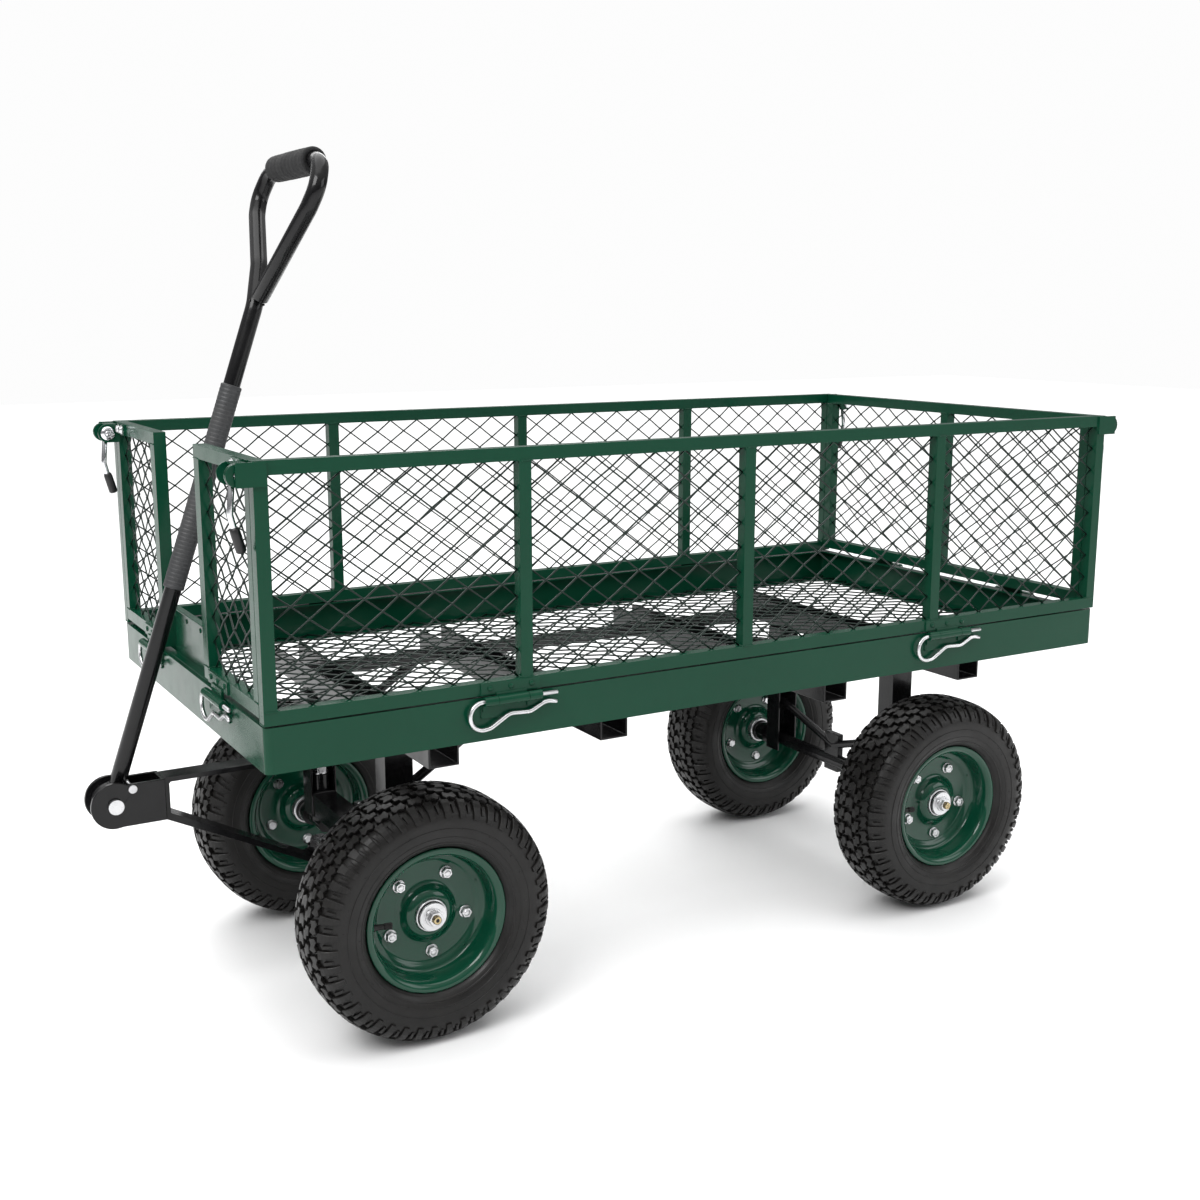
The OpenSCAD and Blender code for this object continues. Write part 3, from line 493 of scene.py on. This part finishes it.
# welds and rivets on the tray: leaves, corners, sill
s = Shape()
for side, hinge in (("left", SIDE_HINGE_X), ("right", SIDE_HINGE_X), ("front", END_HINGE_Y), ("rear", END_HINGE_Y)):
    m = edge(side)
    for u in (-hinge, hinge):
        bar_weld(m @ Vector((u - 36, 0.4, HINGE_Z - 20)), m @ Vector((u + 36, 0.4, HINGE_Z - 20)), 1.0, s)
        for e in (-37, 37):
            bar_weld(m @ Vector((u + e, 0.5, HINGE_Z - 19)), m @ Vector((u + e, 0.5, HINGE_Z - 6)), 1.0, s)
m = edge("front")
for u in (-80, -30, 30, 80):
    dome_head(3.0, 1.4, s, 0, to_axis(m @ Vector((u, -13, RIM_TOP + 50)), m.to_3x3() @ Vector((0, 1, 0))))
bar_weld(m @ Vector((-87, -12.6, RIM_TOP + 2.2)), m @ Vector((87, -12.6, RIM_TOP + 2.2)), 1.1, s)
for sx in (-1, 1):
    for sy in (-1, 1):
        for z in (TRAY_Z + 1, RIM_TOP - 1):
            bar_weld((sx * (HALF_L - 6), sy * (HALF_W - 1.8), z), (sx * (HALF_L - 1.8), sy * (HALF_W - 6), z), 0.9, s)
put("tray_welds", s, [GREEN], "chassis")

# welds under the tray: channels, posts, beam, kingpin tubes
s = Shape()
for x in CHANNEL_X:
    for y in (-250, -60, 60, 250):
        for e in (-19.3, 19.3):
            bar_weld((x + e, y - 14, TRAY_Z - 0.8), (x + e, y + 14, TRAY_Z - 0.8), 1.3, s)
for x in (FRONT_X, REAR_X):
    for sy in (-1, 1):
        for e in (-18.2, 18.2):
            bar_weld((x + e, sy * 122, 340.4), (x + e, sy * 150, 340.4), 1.3, s)
        bar_weld((x - 16, sy * 151.3, 340.4), (x + 16, sy * 151.3, 340.4), 1.3, s)
for sy in (-1, 1):
    for e in (-16.4, 16.4):
        bar_weld((FRONT_X + e, sy * 119.4, 170), (FRONT_X + e, sy * 119.4, 197), 1.3, s)
    bar_weld((FRONT_X - 15, sy * 119.4, 198.3), (FRONT_X + 15, sy * 119.4, 198.3), 1.3, s)
    for k in range(10):
        a0, a1 = math.pi * (0.1 + 0.08 * k), math.pi * (0.1 + 0.08 * (k + 1))
        c = Vector((FRONT_X, sy * KINGPIN_Y, 0))
        p = [c + Vector((13.3 * math.cos(a), -sy * 13.3 * math.sin(a), 198.5)) for a in (a0, a1)]
        bar_weld(p[0], p[1], 1.0, s)
    bar_weld((380, sy * (KINGPIN_Y - 6), 284), (380, sy * (KINGPIN_Y + 6), 284), 1.4, s)
    bar_weld((REAR_X + 5, sy * 4, 196.3), (REAR_X + 5, sy * 15, 196.3), 1.2, s)
put("chassis_welds", s, [BLACK], "chassis")


# ---------------------------------------------------------------- hairpins
def clip(name, side, u):
    m = edge(side) @ Matrix.Translation((u, HINGE_OUT, HINGE_Z))
    r, hinge_end = 16, 37
    line = [(-57, 0, 0), (hinge_end, 0, 0)]
    for t in range(80, -91, -10):
        line.append((hinge_end + r * math.cos(math.radians(t)), 0, r * math.sin(math.radians(t)) - r))
    tail = bent([(36, 0, -32), (28, 0, -31), (4, 0, -16.8), (-22, 0, -18.2), (-40, 0, -9.4), (-47, 0, -9.2),
                 (-56, 0, -11.2)], 16, 5)
    s = tube([m @ Vector(p) for p in line + tail], 2.45, 14, 0.35)
    put(name, s, [ZINC], name.replace("_hairpin", "_body"), [name.replace("_hairpin", "")])


for side in ("left", "right"):
    clip(side + "_front_clip_hairpin", side, SIDE_HINGE_X)
    clip(side + "_rear_clip_hairpin", side, -SIDE_HINGE_X)
clip("front_left_clip_hairpin", "front", -END_HINGE_Y)
clip("front_right_clip_hairpin", "front", END_HINGE_Y)
clip("rear_left_clip_hairpin", "rear", END_HINGE_Y)
clip("rear_right_clip_hairpin", "rear", -END_HINGE_Y)


# ---------------------------------------------------------------- corner latches
def latch(name, side, sg):
    m = edge(side) @ Matrix.Scale(sg, 4, (1, 0, 0))
    out, z, u = 15, PANEL_TOP - 14, END_HALF - 4
    s = Shape()
    tube([m @ Vector((END_HALF - 23.3, out, z)), m @ Vector((END_HALF + 11.4, out, z))], 4.0, 20, 0.2, s)
    ax = m.to_3x3() @ Vector((-1, 0, 0))
    at = to_axis(m @ Vector((END_HALF - 19.3, out, z)), ax)
    lathe([(0.01, 0), (9.2, 0), (9.2, 1.4), (8.2, 2.6), (5.2, 3.6), (3.4, 3.7), (2.6, 3.2), (0.01, 3.1)], 28, s,
          at=at)
    lever = bent([(u, out, z), (u, out + 4, z - 40), (u, out + 1, z - 53), (u, out - 4.6, z - 72)], 14, 6)
    tube([m @ p for p in lever], 3.4, 14, 0.2, s)
    tip = [Vector((u, out + 0.8, z - 54)), Vector((u, out + 0.2, z - 56)), Vector((u, out - 1, z - 60)),
           Vector((u, out - 6.0, z - 78.5)), Vector((u, out - 6.4, z - 80.2))]
    tube([m @ p for p in tip], [4.2, 5.2, 5.5, 5.5, 3.8], 16, 0, s, 1)
    put(name + "_lever", s, [CHROME, SEAL], name + "_body", [name])


latch("front_left_latch", "front", -1)
latch("front_right_latch", "front", 1)
latch("rear_left_latch", "rear", 1)
latch("rear_right_latch", "rear", -1)

# zinc bolts that hold the latch brackets on the end panels
for side, body, sgs in (("front", "front_left_panel", (-1,)), ("front", "front_right_panel", (1,)),
                        ("rear", "rear_panel", (-1, 1))):
    s, m = Shape(), edge(side)
    for sg in sgs:
        for d in (44, 27):
            at = to_axis(m @ Vector((sg * (END_HALF - d), 2.5, PANEL_TOP - 8)), m.to_3x3() @ Vector((0, 1, 0)))
            lathe([(0.01, 0), (5.8, 0), (5.8, 0.8), (4.6, 1.0), (4.4, 2.6), (3.2, 3.6), (0.01, 3.8)], 24, s, at=at)
    put("latch_bolts_" + body + ("" if side == "front" else "_rear"), s, [ZINC], body)


# ---------------------------------------------------------------- wheels, in a frame with the axle along Y
TYRE_HALF, CROWN_R = 49, 150
BOLTS, BOLT_CIRCLE_R, BOLT_PHASE = 5, 51, 48


def signed_power(v, e):
    return math.copysign(abs(v) ** e, v)


def section(mid, a, b, deg):
    """Radius and y on a rounded box section, a and b from its middle each way, deg round from its side."""
    t = math.radians(deg)
    return mid + a * signed_power(math.sin(t), 0.75), b * signed_power(math.cos(t), 0.75)


def tyre_shape():
    mid, half, deep = 116.0, 36.0, 4.8
    s = Shape()
    # carcass: outside from bead to bead, with rings on the sidewalls, then the inside
    outer = []
    for i in range(73):
        deg = -38 + 256 * i / 72
        r, y = section(mid, half - deep * max(0, math.sin(math.radians(deg))) ** 0.6, TYRE_HALF, deg)
        outer.append((r, y))

    def side_y(r):
        """Height of the outer sidewall above the wheel's middle plane at radius r."""
        return max(y + (r - q) * (y1 - y) / (q1 - q) for (q, y), (q1, y1) in zip(outer, outer[1:])
                   if min(q, q1) <= r <= max(q, q1) and q != q1)

    fine = []
    for (r0, y0), (r1, y1) in zip(outer, outer[1:]):
        fine += [(r0, y0), ((r0 + r1) / 2, (y0 + y1) / 2)]
    fine.append(outer[-1])
    bead = [(80.2, 34.3), (80.6, 35.4), (88.9, 36.0)]
    back = [(r, -y) for r, y in reversed(bead)]
    inner = [section(mid, half - 9, TYRE_HALF - 7, 212 - 244 * i / 20) for i in range(21)]
    lathe(bead + fine + back + [(80.2, -26)] + inner + [(80.2, 26)], 120, s, closed=True)

    # outline of the tread by arc length from the crown
    line = [section(mid, half - deep * max(0, math.sin(math.radians(d))) ** 0.6, TYRE_HALF, d)
            for d in [90 - 0.8 * k for k in range(140)]]
    arc = [0.0]
    for (r0, y0), (r1, y1) in zip(line, line[1:]):
        arc.append(arc[-1] + math.hypot(r1 - r0, y1 - y0))

    def on(v, h):
        """Radius and y at arc length v from the crown, h above the carcass."""
        a, i = abs(v), 1
        while i < len(arc) - 2 and arc[i] < a:
            i += 1
        f = (a - arc[i - 1]) / (arc[i] - arc[i - 1])
        (r0, y0), (r1, y1) = line[i - 1], line[i]
        r, y = r0 + (r1 - r0) * f, y0 + (y1 - y0) * f
        d = math.hypot(r1 - r0, y1 - y0)
        nr, ny = (y1 - y0) / d, -(r1 - r0) / d
        return r + nr * h, math.copysign(y + ny * h, v) if v else y + ny * h

    lugs = 44
    step = 2 * math.pi / lugs

    def block(poly, at, top, mirrored, phase, shrink=0.93):
        """A tread block: poly of (across, along) in mm from its middle at arc length `at`."""
        n = len(poly)
        cx = sum(p[0] for p in poly) / n
        cy = sum(p[1] for p in poly) / n
        for k in range(lugs):
            a0 = (k + phase) * step
            verts = []
            for h, sh in ((-0.8, 1.05), (top * 0.85, 0.99), (top, shrink)):
                for px, py in poly:
                    v = at + cx + (px - cx) * sh
                    along = cy + (py - cy) * sh
                    r, y = on(v, h)
                    if mirrored:
                        y = -y
                    a = a0 + (-1 if mirrored else 1) * along / CROWN_R
                    verts.append((r * math.cos(a), y, r * math.sin(a)))
            faces = []
            for ring in (0, 1):
                for i in range(n):
                    j = (i + 1) % n
                    f = (ring * n + i, ring * n + j, (ring + 1) * n + j, (ring + 1) * n + i)
                    faces.append(f[::-1] if mirrored else f)
            cap = tuple(range(2 * n, 3 * n))
            faces.append(cap[::-1] if mirrored else cap)
            s.add(verts, faces, 0, False)

    def long_lug(v0, v1, width, top, mirrored, phase, lean=0.0):
        """A bar that runs down over the shoulder."""
        cuts = 5
        for k in range(lugs):
            a0 = (k + phase) * step
            verts, faces = [], []
            for i in range(cuts + 1):
                f = i / cuts
                v = v0 + (v1 - v0) * f
                h = top * (1 - 0.55 * f)
                w = width * (1 - 0.35 * f)
                for dh, dw in ((-0.8, 0.54), (h * 0.8, 0.5), (h, 0.42), (h, -0.42), (h * 0.8, -0.5), (-0.8, -0.54)):
                    r, y = on(v, dh)
                    a = a0 + (w * dw + lean * f) / CROWN_R * (-1 if mirrored else 1)
                    verts.append((r * math.cos(a), -y if mirrored else y, r * math.sin(a)))
            for i in range(cuts):
                for j in range(5):
                    q = (i * 6 + j, i * 6 + j + 1, (i + 1) * 6 + j + 1, (i + 1) * 6 + j)
                    faces.append(q if mirrored else q[::-1])
            e0, e1 = tuple(range(6)), tuple(cuts * 6 + j for j in range(6))
            faces += [e0[::-1], e1] if mirrored else [e0, e1[::-1]]
            s.add(verts, faces, 0, False)

    # rows from the crown outwards: interlocking arrows, offset blocks, shoulder bars, small nubs below them
    p = 2 * math.pi * CROWN_R / lugs
    arrow = [(-7, -0.40 * p), (0, -0.24 * p), (7, -0.40 * p), (7, 0.16 * p), (0, 0.32 * p), (-7, 0.16 * p)]
    zed = [(-6, -0.42 * p), (1, -0.42 * p), (1.4, -0.18 * p), (6, -0.10 * p), (6, 0.40 * p), (-1, 0.40 * p),
           (-1.4, 0.14 * p), (-6, 0.06 * p)]
    notched = [(-6, -0.34 * p), (2, -0.43 * p), (6, -0.28 * p), (3.4, -0.04 * p), (6, 0.22 * p), (2, 0.41 * p),
               (-6, 0.31 * p), (-2.6, 0)]
    block(arrow, 0.0001, 5.0, False, 0.0)
    for mirrored, ph in ((False, 0.5), (True, 0.0)):
        block(zed, 14.4, 5.0, mirrored, ph)
        block(notched, 28.0, 4.8, mirrored, ph + 0.5)
        long_lug(35.6, 57.0, 0.54 * p, 4.7, mirrored, ph + 0.02, 2.0)
        long_lug(41.0, 51.0, 0.24 * p, 3.2, mirrored, ph + 0.5, 1.0)
    # moulded rings on the sidewalls, and the little vent nubs the mould leaves
    for side in (1, -1):
        for ring_r, w, h in ((96.5, 1.6, 0.9), (104.0, 0.45, 0.5), (114.5, 0.55, 0.75)):
            y = side_y(ring_r)
            ring = [(ring_r - w, side * (y - 0.3)), (ring_r - 0.5 * w, side * (y + h)),
                    (ring_r + 0.5 * w, side * (y + h)), (ring_r + w, side * (y - 0.3))]
            lathe(ring if side > 0 else ring[::-1], 120, s)
        for k in range(26):
            a, r = 2.399 * k, 99.0 + 21.0 * ((k * 0.618) % 1.0)
            nub = Matrix.Translation((r * math.cos(a), side * (side_y(r) - 0.2), r * math.sin(a)))
            if side < 0:
                nub = nub @ Matrix.Rotation(math.pi, 4, "X")
            lathe([(0.75, 0), (0.6, 0.9), (0.01, 1.1)], 8, s, at=nub)
    return s


def rim_shape():
    """Both pressed halves: flange, bead seat, well, dish, boss."""
    half = [(20.2, 18.8), (22.5, 18.4), (27.5, 16.8), (31, 12.5), (34, 7.6), (37.5, 5.8), (42, 5.4), (60, 5.4),
            (62.5, 5.9), (64.5, 7.4), (66.5, 9.2), (70, 9.8), (72.5, 11.0), (74.2, 14), (75.2, 19), (76.0, 27),
            (77.2, 33.5), (79.5, 36.8), (83, 38.6), (86.5, 39.2), (88, 38.4), (88.0, 36.9), (86.2, 36.6),
            (82.5, 36.2), (80.0, 34.4), (79.4, 31), (78.6, 20), (77.4, 12), (75.5, 7.2), (71, 5.0), (66, 3.2),
            (61, 2.6), (60, 0.4), (20.2, 0.4)]
    s = Shape()
    lathe(half, 96, s, closed=True)
    lathe([(r, -y) for r, y in reversed(half)], 96, s, closed=True)
    # weld spots where the halves meet, and the raised lip round the valve hole
    for k in range(BOLTS):
        a = math.radians(BOLT_PHASE + 72 * k + 36)
        at = Matrix.Translation((68.3 * math.cos(a), 9.4, 68.3 * math.sin(a)))
        lathe([(1.6, 0), (1.5, 0.5), (0.9, 0.8), (0.01, 0.8)], 12, s, at=at)
    at = to_axis((76.6, 17.2, 0), (-1, 0.22, 0))
    lathe([(6.6, -0.6), (6.4, 0.8), (5.2, 1.2), (4.4, 0.8), (4.4, -0.6)], 24, s, at=at)
    return s


def hub_shape():
    s = Shape()
    lathe([(10.1, -26.4), (18.6, -26.4), (19.9, -25.4), (19.9, 0), (19.9, 20.0), (19.2, 21.4), (17.6, 21.6),
           (17.2, 20.6), (12.8, 20.6), (12.4, 22.3), (10.1, 22.3)], 64, s, closed=True)
    lathe([(12.9, 20.5), (13.4, 21.1), (16.6, 21.1), (17.1, 20.5)], 64, s, 1)
    lathe([(12.9, -26.3), (13.4, -26.7), (16.6, -26.7), (17.1, -26.3)], 64, s, 1)
    for k in range(BOLTS):
        a = math.radians(BOLT_PHASE + 72 * k)
        p = (BOLT_CIRCLE_R * math.cos(a), 0, BOLT_CIRCLE_R * math.sin(a))
        spin = Matrix.Rotation(0.5 + 1.3 * k, 4, "Y")
        out = Matrix.Translation((p[0], 5.4, p[2]))
        lathe([(0.01, 0), (8.0, 0), (8.0, 0.7), (7.2, 1.2), (0.01, 1.2)], 28, s, at=out)
        hexagon(6.9, 5.3, s, 0, Matrix.Translation((p[0], 6.6, p[2])) @ spin, 1.0)
        lathe([(4.0, 11.8), (3.6, 12.4), (2.6, 12.9), (0.01, 12.9)], 20, s, at=Matrix.Translation((p[0], 0, p[2])))
        back = Matrix.Translation((p[0], -5.4, p[2])) @ Matrix.Rotation(math.pi, 4, "X")
        lathe([(0.01, 0), (7.6, 0), (7.6, 1.0), (0.01, 1.0)], 28, s, at=back)
        hexagon(6.5, 5.4, s, 0, back @ spin, 0.8)
    return s


def valve_shape():
    """Rubber stem with a ribbed cap."""
    s = Shape()
    at = to_axis((78.6, 18.0, 0), (-1, 0.21, 0))
    lathe([(3.9, 0), (3.9, 5), (4.6, 5.6), (4.6, 7.4), (3.7, 8.2), (3.3, 16), (3.2, 19), (0.01, 19)], 28, s, at=at)
    ribs = 24
    verts, faces = [], []
    for y, f in ((19.0, 0.96), (19.5, 1.0), (27.0, 1.0), (28.2, 0.8)):
        for k in range(ribs * 2):
            a = math.pi * k / ribs
            r = (3.9 if k % 2 else 3.55) * f
            verts.append((r * math.cos(a), y, r * math.sin(a)))
    n = ribs * 2
    for i in range(3):
        for k in range(n):
            faces.append((i * n + k, (i + 1) * n + k, (i + 1) * n + (k + 1) % n, i * n + (k + 1) % n))
    faces.append(tuple(3 * n + k for k in range(n))[::-1])
    s.add(verts, faces, 0, False, at)
    return s


tyre = tyre_shape()
tyre.join(valve_shape())
WHEEL_MESHES = {}
for piece, shape, mats in (("tyre", tyre, [TYRE]), ("rim", rim_shape(), [RIM_GREEN]),
                           ("hub", hub_shape(), [ZINC, SEAL])):
    WHEEL_MESHES[piece, 1] = shape.mesh(piece + "_detail", mats, True)
    WHEEL_MESHES[piece, -1] = shape.flipped().mesh(piece + "_detail_right", mats, True)
AXLE_BODY = {"front_left": "left_knuckle_body", "front_right": "right_knuckle_body"}
for name, x, sg in (("front_left", FRONT_X, 1), ("front_right", FRONT_X, -1), ("rear_left", REAR_X, 1),
                    ("rear_right", REAR_X, -1)):
    turn = Matrix.Rotation(0 if sg > 0 else math.pi, 4, "Z")
    at = Matrix.Translation(V(x, sg * WHEEL_Y, AXLE_Z))
    body = name + "_wheel"
    for piece, mat in (("tyre", TYRE), ("rim", RIM_GREEN), ("hub", ZINC)):
        place(name + "_%s_detail" % piece, WHEEL_MESHES[piece, sg], body, [name + "_" + piece], at)
    # threaded end of the axle, with a turned centre mark
    s = Shape()
    mm = Matrix.Translation((x, sg * WHEEL_Y, AXLE_Z)) @ turn
    prof = [(0.01, 37.0), (1.0, 37.6), (3.4, 38.3), (4.2, 38.3), (4.95, 37.5)]
    for k in range(4):
        y = 37.0 - 0.8 * k
        prof += [(5.22, y), (4.85, y - 0.4)]
    prof += [(4.85, 33.9), (0.01, 33.9)]
    lathe(prof, 32, s, at=mm)
    put(name + "_axle_end", s, [BRASS], AXLE_BODY.get(name, "chassis"))

# ---------------------------------------------------------------- handle
H = Matrix.Translation(PIVOT) @ Matrix.Rotation(-LEAN, 4, "Y")


def on_handle(pts):
    return [H @ Vector(p) for p in pts]


s = Shape()
neck = GRIP_S - 165
loop = bent([(0, 0, 15), (0, 0, neck - 6), (0, -28, GRIP_S - 122), (0, -95, GRIP_S - 56), (0, -105, GRIP_S - 34),
             (0, -92, GRIP_S - 6), (0, -70, GRIP_S), (0, 70, GRIP_S), (0, 92, GRIP_S - 6), (0, 105, GRIP_S - 34),
             (0, 95, GRIP_S - 58), (0, 12, GRIP_S - 163.4)], 34, 8)
tube(on_handle(loop), 10, 28, 0.12, s)
lathe([(6.1, -14.6), (19.5, -14.6), (20.8, -14.1), (22, -12.6), (22, -6.5), (20.6, -5), (20.6, 5), (22, 6.5),
       (22, 12.6), (20.8, 14.1), (19.5, 14.6), (6.1, 14.6)], 64, s, closed=True, at=H)
for k in range(14):
    arc = (math.tau * k / 14, math.tau * (k + 1) / 14)
    p = [H @ Vector((10.4 * math.cos(a), 10.4 * math.sin(a), 21.4)) for a in arc]
    bar_weld(p[0], p[1], 1.2, s)
put("handle_bar", s, [BLACK], "handle", ["handle_tube"])

s = Shape()
z = 265.0
prof = [(10.1, 265), (11.6, 265), (12.4, 266.2)]
while z < 512:
    prof += [(12.45, z + 2.2), (12.45, z + 3.6), (12.2, z + 4.0), (12.2, z + 4.4)]
    z += 4.9
prof += [(12.4, 513.8), (11.6, 515), (10.1, 515)]
turn = Matrix.Rotation(math.pi / 2, 4, "X")
lathe(prof, 48, s, closed=True, at=H @ turn)
put("handle_sleeve_detail", s, [SLEEVE], "handle", ["handle_sleeve"])

s = Shape()
prof = [(10.1, -67), (13.2, -67), (14.8, -66.2), (15.6, -64)]
for k in range(33):
    y = -60 + 120 * k / 32
    prof.append((15.5 + 0.35 * math.sin(k * 1.9) + 0.25 * math.cos(y / 30), y))
prof += [(15.6, 64), (14.8, 66.2), (13.2, 67), (10.1, 67)]
lathe(prof, 48, s, closed=True, at=H @ Matrix.Translation((0, 0, GRIP_S)))
put("foam_grip_detail", s, [FOAM], "handle", ["handle_grip"])

# weld where the loop's cut end meets the neck
s = Shape()
for k in range(6):
    a0, a1 = math.pi * (0.1 + 0.14 * k), math.pi * (0.1 + 0.14 * (k + 1))
    c = Vector((0, 9, GRIP_S - 166.4))
    p = [H @ (c + Vector((9.8 * math.cos(a), -4.5, -9.0 * math.sin(a) * 0.5))) for a in (a0, a1)]
    bar_weld(p[0], p[1], 1.3, s)
put("handle_loop_weld", s, [BLACK], "handle")

# clevis: rolled edges on the cheeks, welds to the fork
s = Shape()
for sg in (-1, 1):
    y0 = 15 if sg > 0 else -20
    for yy in (y0 + 0.6, y0 + 4.4):
        arc = [(PIVOT.x + 27.4 * math.cos(math.radians(t)), yy, PIVOT.z + 27.4 * math.sin(math.radians(t)))
               for t in range(-88, 89, 8)]
        tube(arc, 0.7, 8, 0.2, s)
    bar_weld((646.4, sg * 15.6, 249), (646.4, sg * 15.6, 296), 1.3, s)
    bar_weld((639.4, sg * 14, 291.2), (639.4, sg * 4, 291.2), 1.3, s)
put("clevis_trim", s, [BLACK], "drawbar")

# ---------------------------------------------------------------- camera, light and floor
for o in list(bpy.data.objects):
    if o.type in {"CAMERA", "LIGHT"}:
        bpy.data.objects.remove(o)
cam_data = bpy.data.cameras.new("camera")
cam = bpy.data.objects.new("camera", cam_data)
bpy.context.scene.collection.objects.link(cam)
cam_data.lens = 44.36
cam_data.sensor_width = 36
cam_data.clip_end = 60
cam.location = V(1052.1, 1742.4, 853.9)
cam.rotation_euler = Vector((-0.4956, -0.8463, -0.1957)).to_track_quat("-Z", "Y").to_euler()
bpy.context.scene.camera = cam


def area(name, loc, aim, size, power, colour=(1, 1, 1)):
    d = bpy.data.lights.new(name, "AREA")
    d.shape = "RECTANGLE"
    d.size, d.size_y = size
    d.energy = power
    d.color = colour
    o = bpy.data.objects.new(name, d)
    bpy.context.scene.collection.objects.link(o)
    o.location = loc
    o.rotation_euler = (Vector(aim) - Vector(loc)).to_track_quat("-Z", "Y").to_euler()


area("key", (2.4, 1.4, 2.9), (0, 0, 0.4), (2.0, 1.4), 75)
area("fill", (-2.6, 2.6, 1.7), (0, 0, 0.4), (2.2, 1.6), 26, (0.97, 0.98, 1.0))
area("back", (-0.5, -3.0, 2.4), (0, 0, 0.5), (3.0, 1.4), 40)
# an even overhead glow, so the floor stays white out to the horizon
glow_data = bpy.data.lights.new("overhead", "SUN")
glow_data.energy = 2.1
glow_data.angle = math.radians(80)
glow = bpy.data.objects.new("overhead", glow_data)
bpy.context.scene.collection.objects.link(glow)
glow.rotation_euler = Vector((0.1, 0.15, -1)).to_track_quat("-Z", "Y").to_euler()

# the studio: a white backdrop for the eye, dimmer walls and a bright ceiling for light and reflections
world = bpy.data.worlds.new("studio")
bpy.context.scene.world = world
world.use_nodes = True
wn, wl = world.node_tree.nodes, world.node_tree.links.new
coord = wn.new("ShaderNodeTexCoord")
parts = wn.new("ShaderNodeSeparateXYZ")
wl(coord.outputs["Generated"], parts.inputs["Vector"])
sky = wn.new("ShaderNodeValToRGB")
sky.color_ramp.elements[0].position = 0.05
sky.color_ramp.elements[0].color = (0.16, 0.16, 0.165, 1)
sky.color_ramp.elements[1].position = 0.85
sky.color_ramp.elements[1].color = (1.0, 1.0, 1.0, 1)
wl(parts.outputs["Z"], sky.inputs["Fac"])
ray = wn.new("ShaderNodeLightPath")
backdrop = wn.new("ShaderNodeMix")
backdrop.data_type = "RGBA"
backdrop.inputs["B"].default_value = (0.98, 0.98, 0.98, 1)
wl(sky.outputs["Color"], backdrop.inputs["A"])
wl(ray.outputs["Is Camera Ray"], backdrop.inputs["Factor"])
wl(backdrop.outputs["Result"], wn["Background"].inputs["Color"])
wn["Background"].inputs["Strength"].default_value = 1.0

floor_mesh = bpy.data.meshes.new("floor")
FLOOR_HALF = 12
corners = [(sx * FLOOR_HALF, sy * FLOOR_HALF, 0) for sx, sy in ((-1, -1), (1, -1), (1, 1), (-1, 1))]
floor_mesh.from_pydata(corners, [], [(0, 1, 2, 3)])
floor_mesh.materials.append(FLOOR)
floor = bpy.data.objects.new("floor", floor_mesh)
bpy.context.scene.collection.objects.link(floor)

bpy.context.scene.view_settings.view_transform = "Standard"
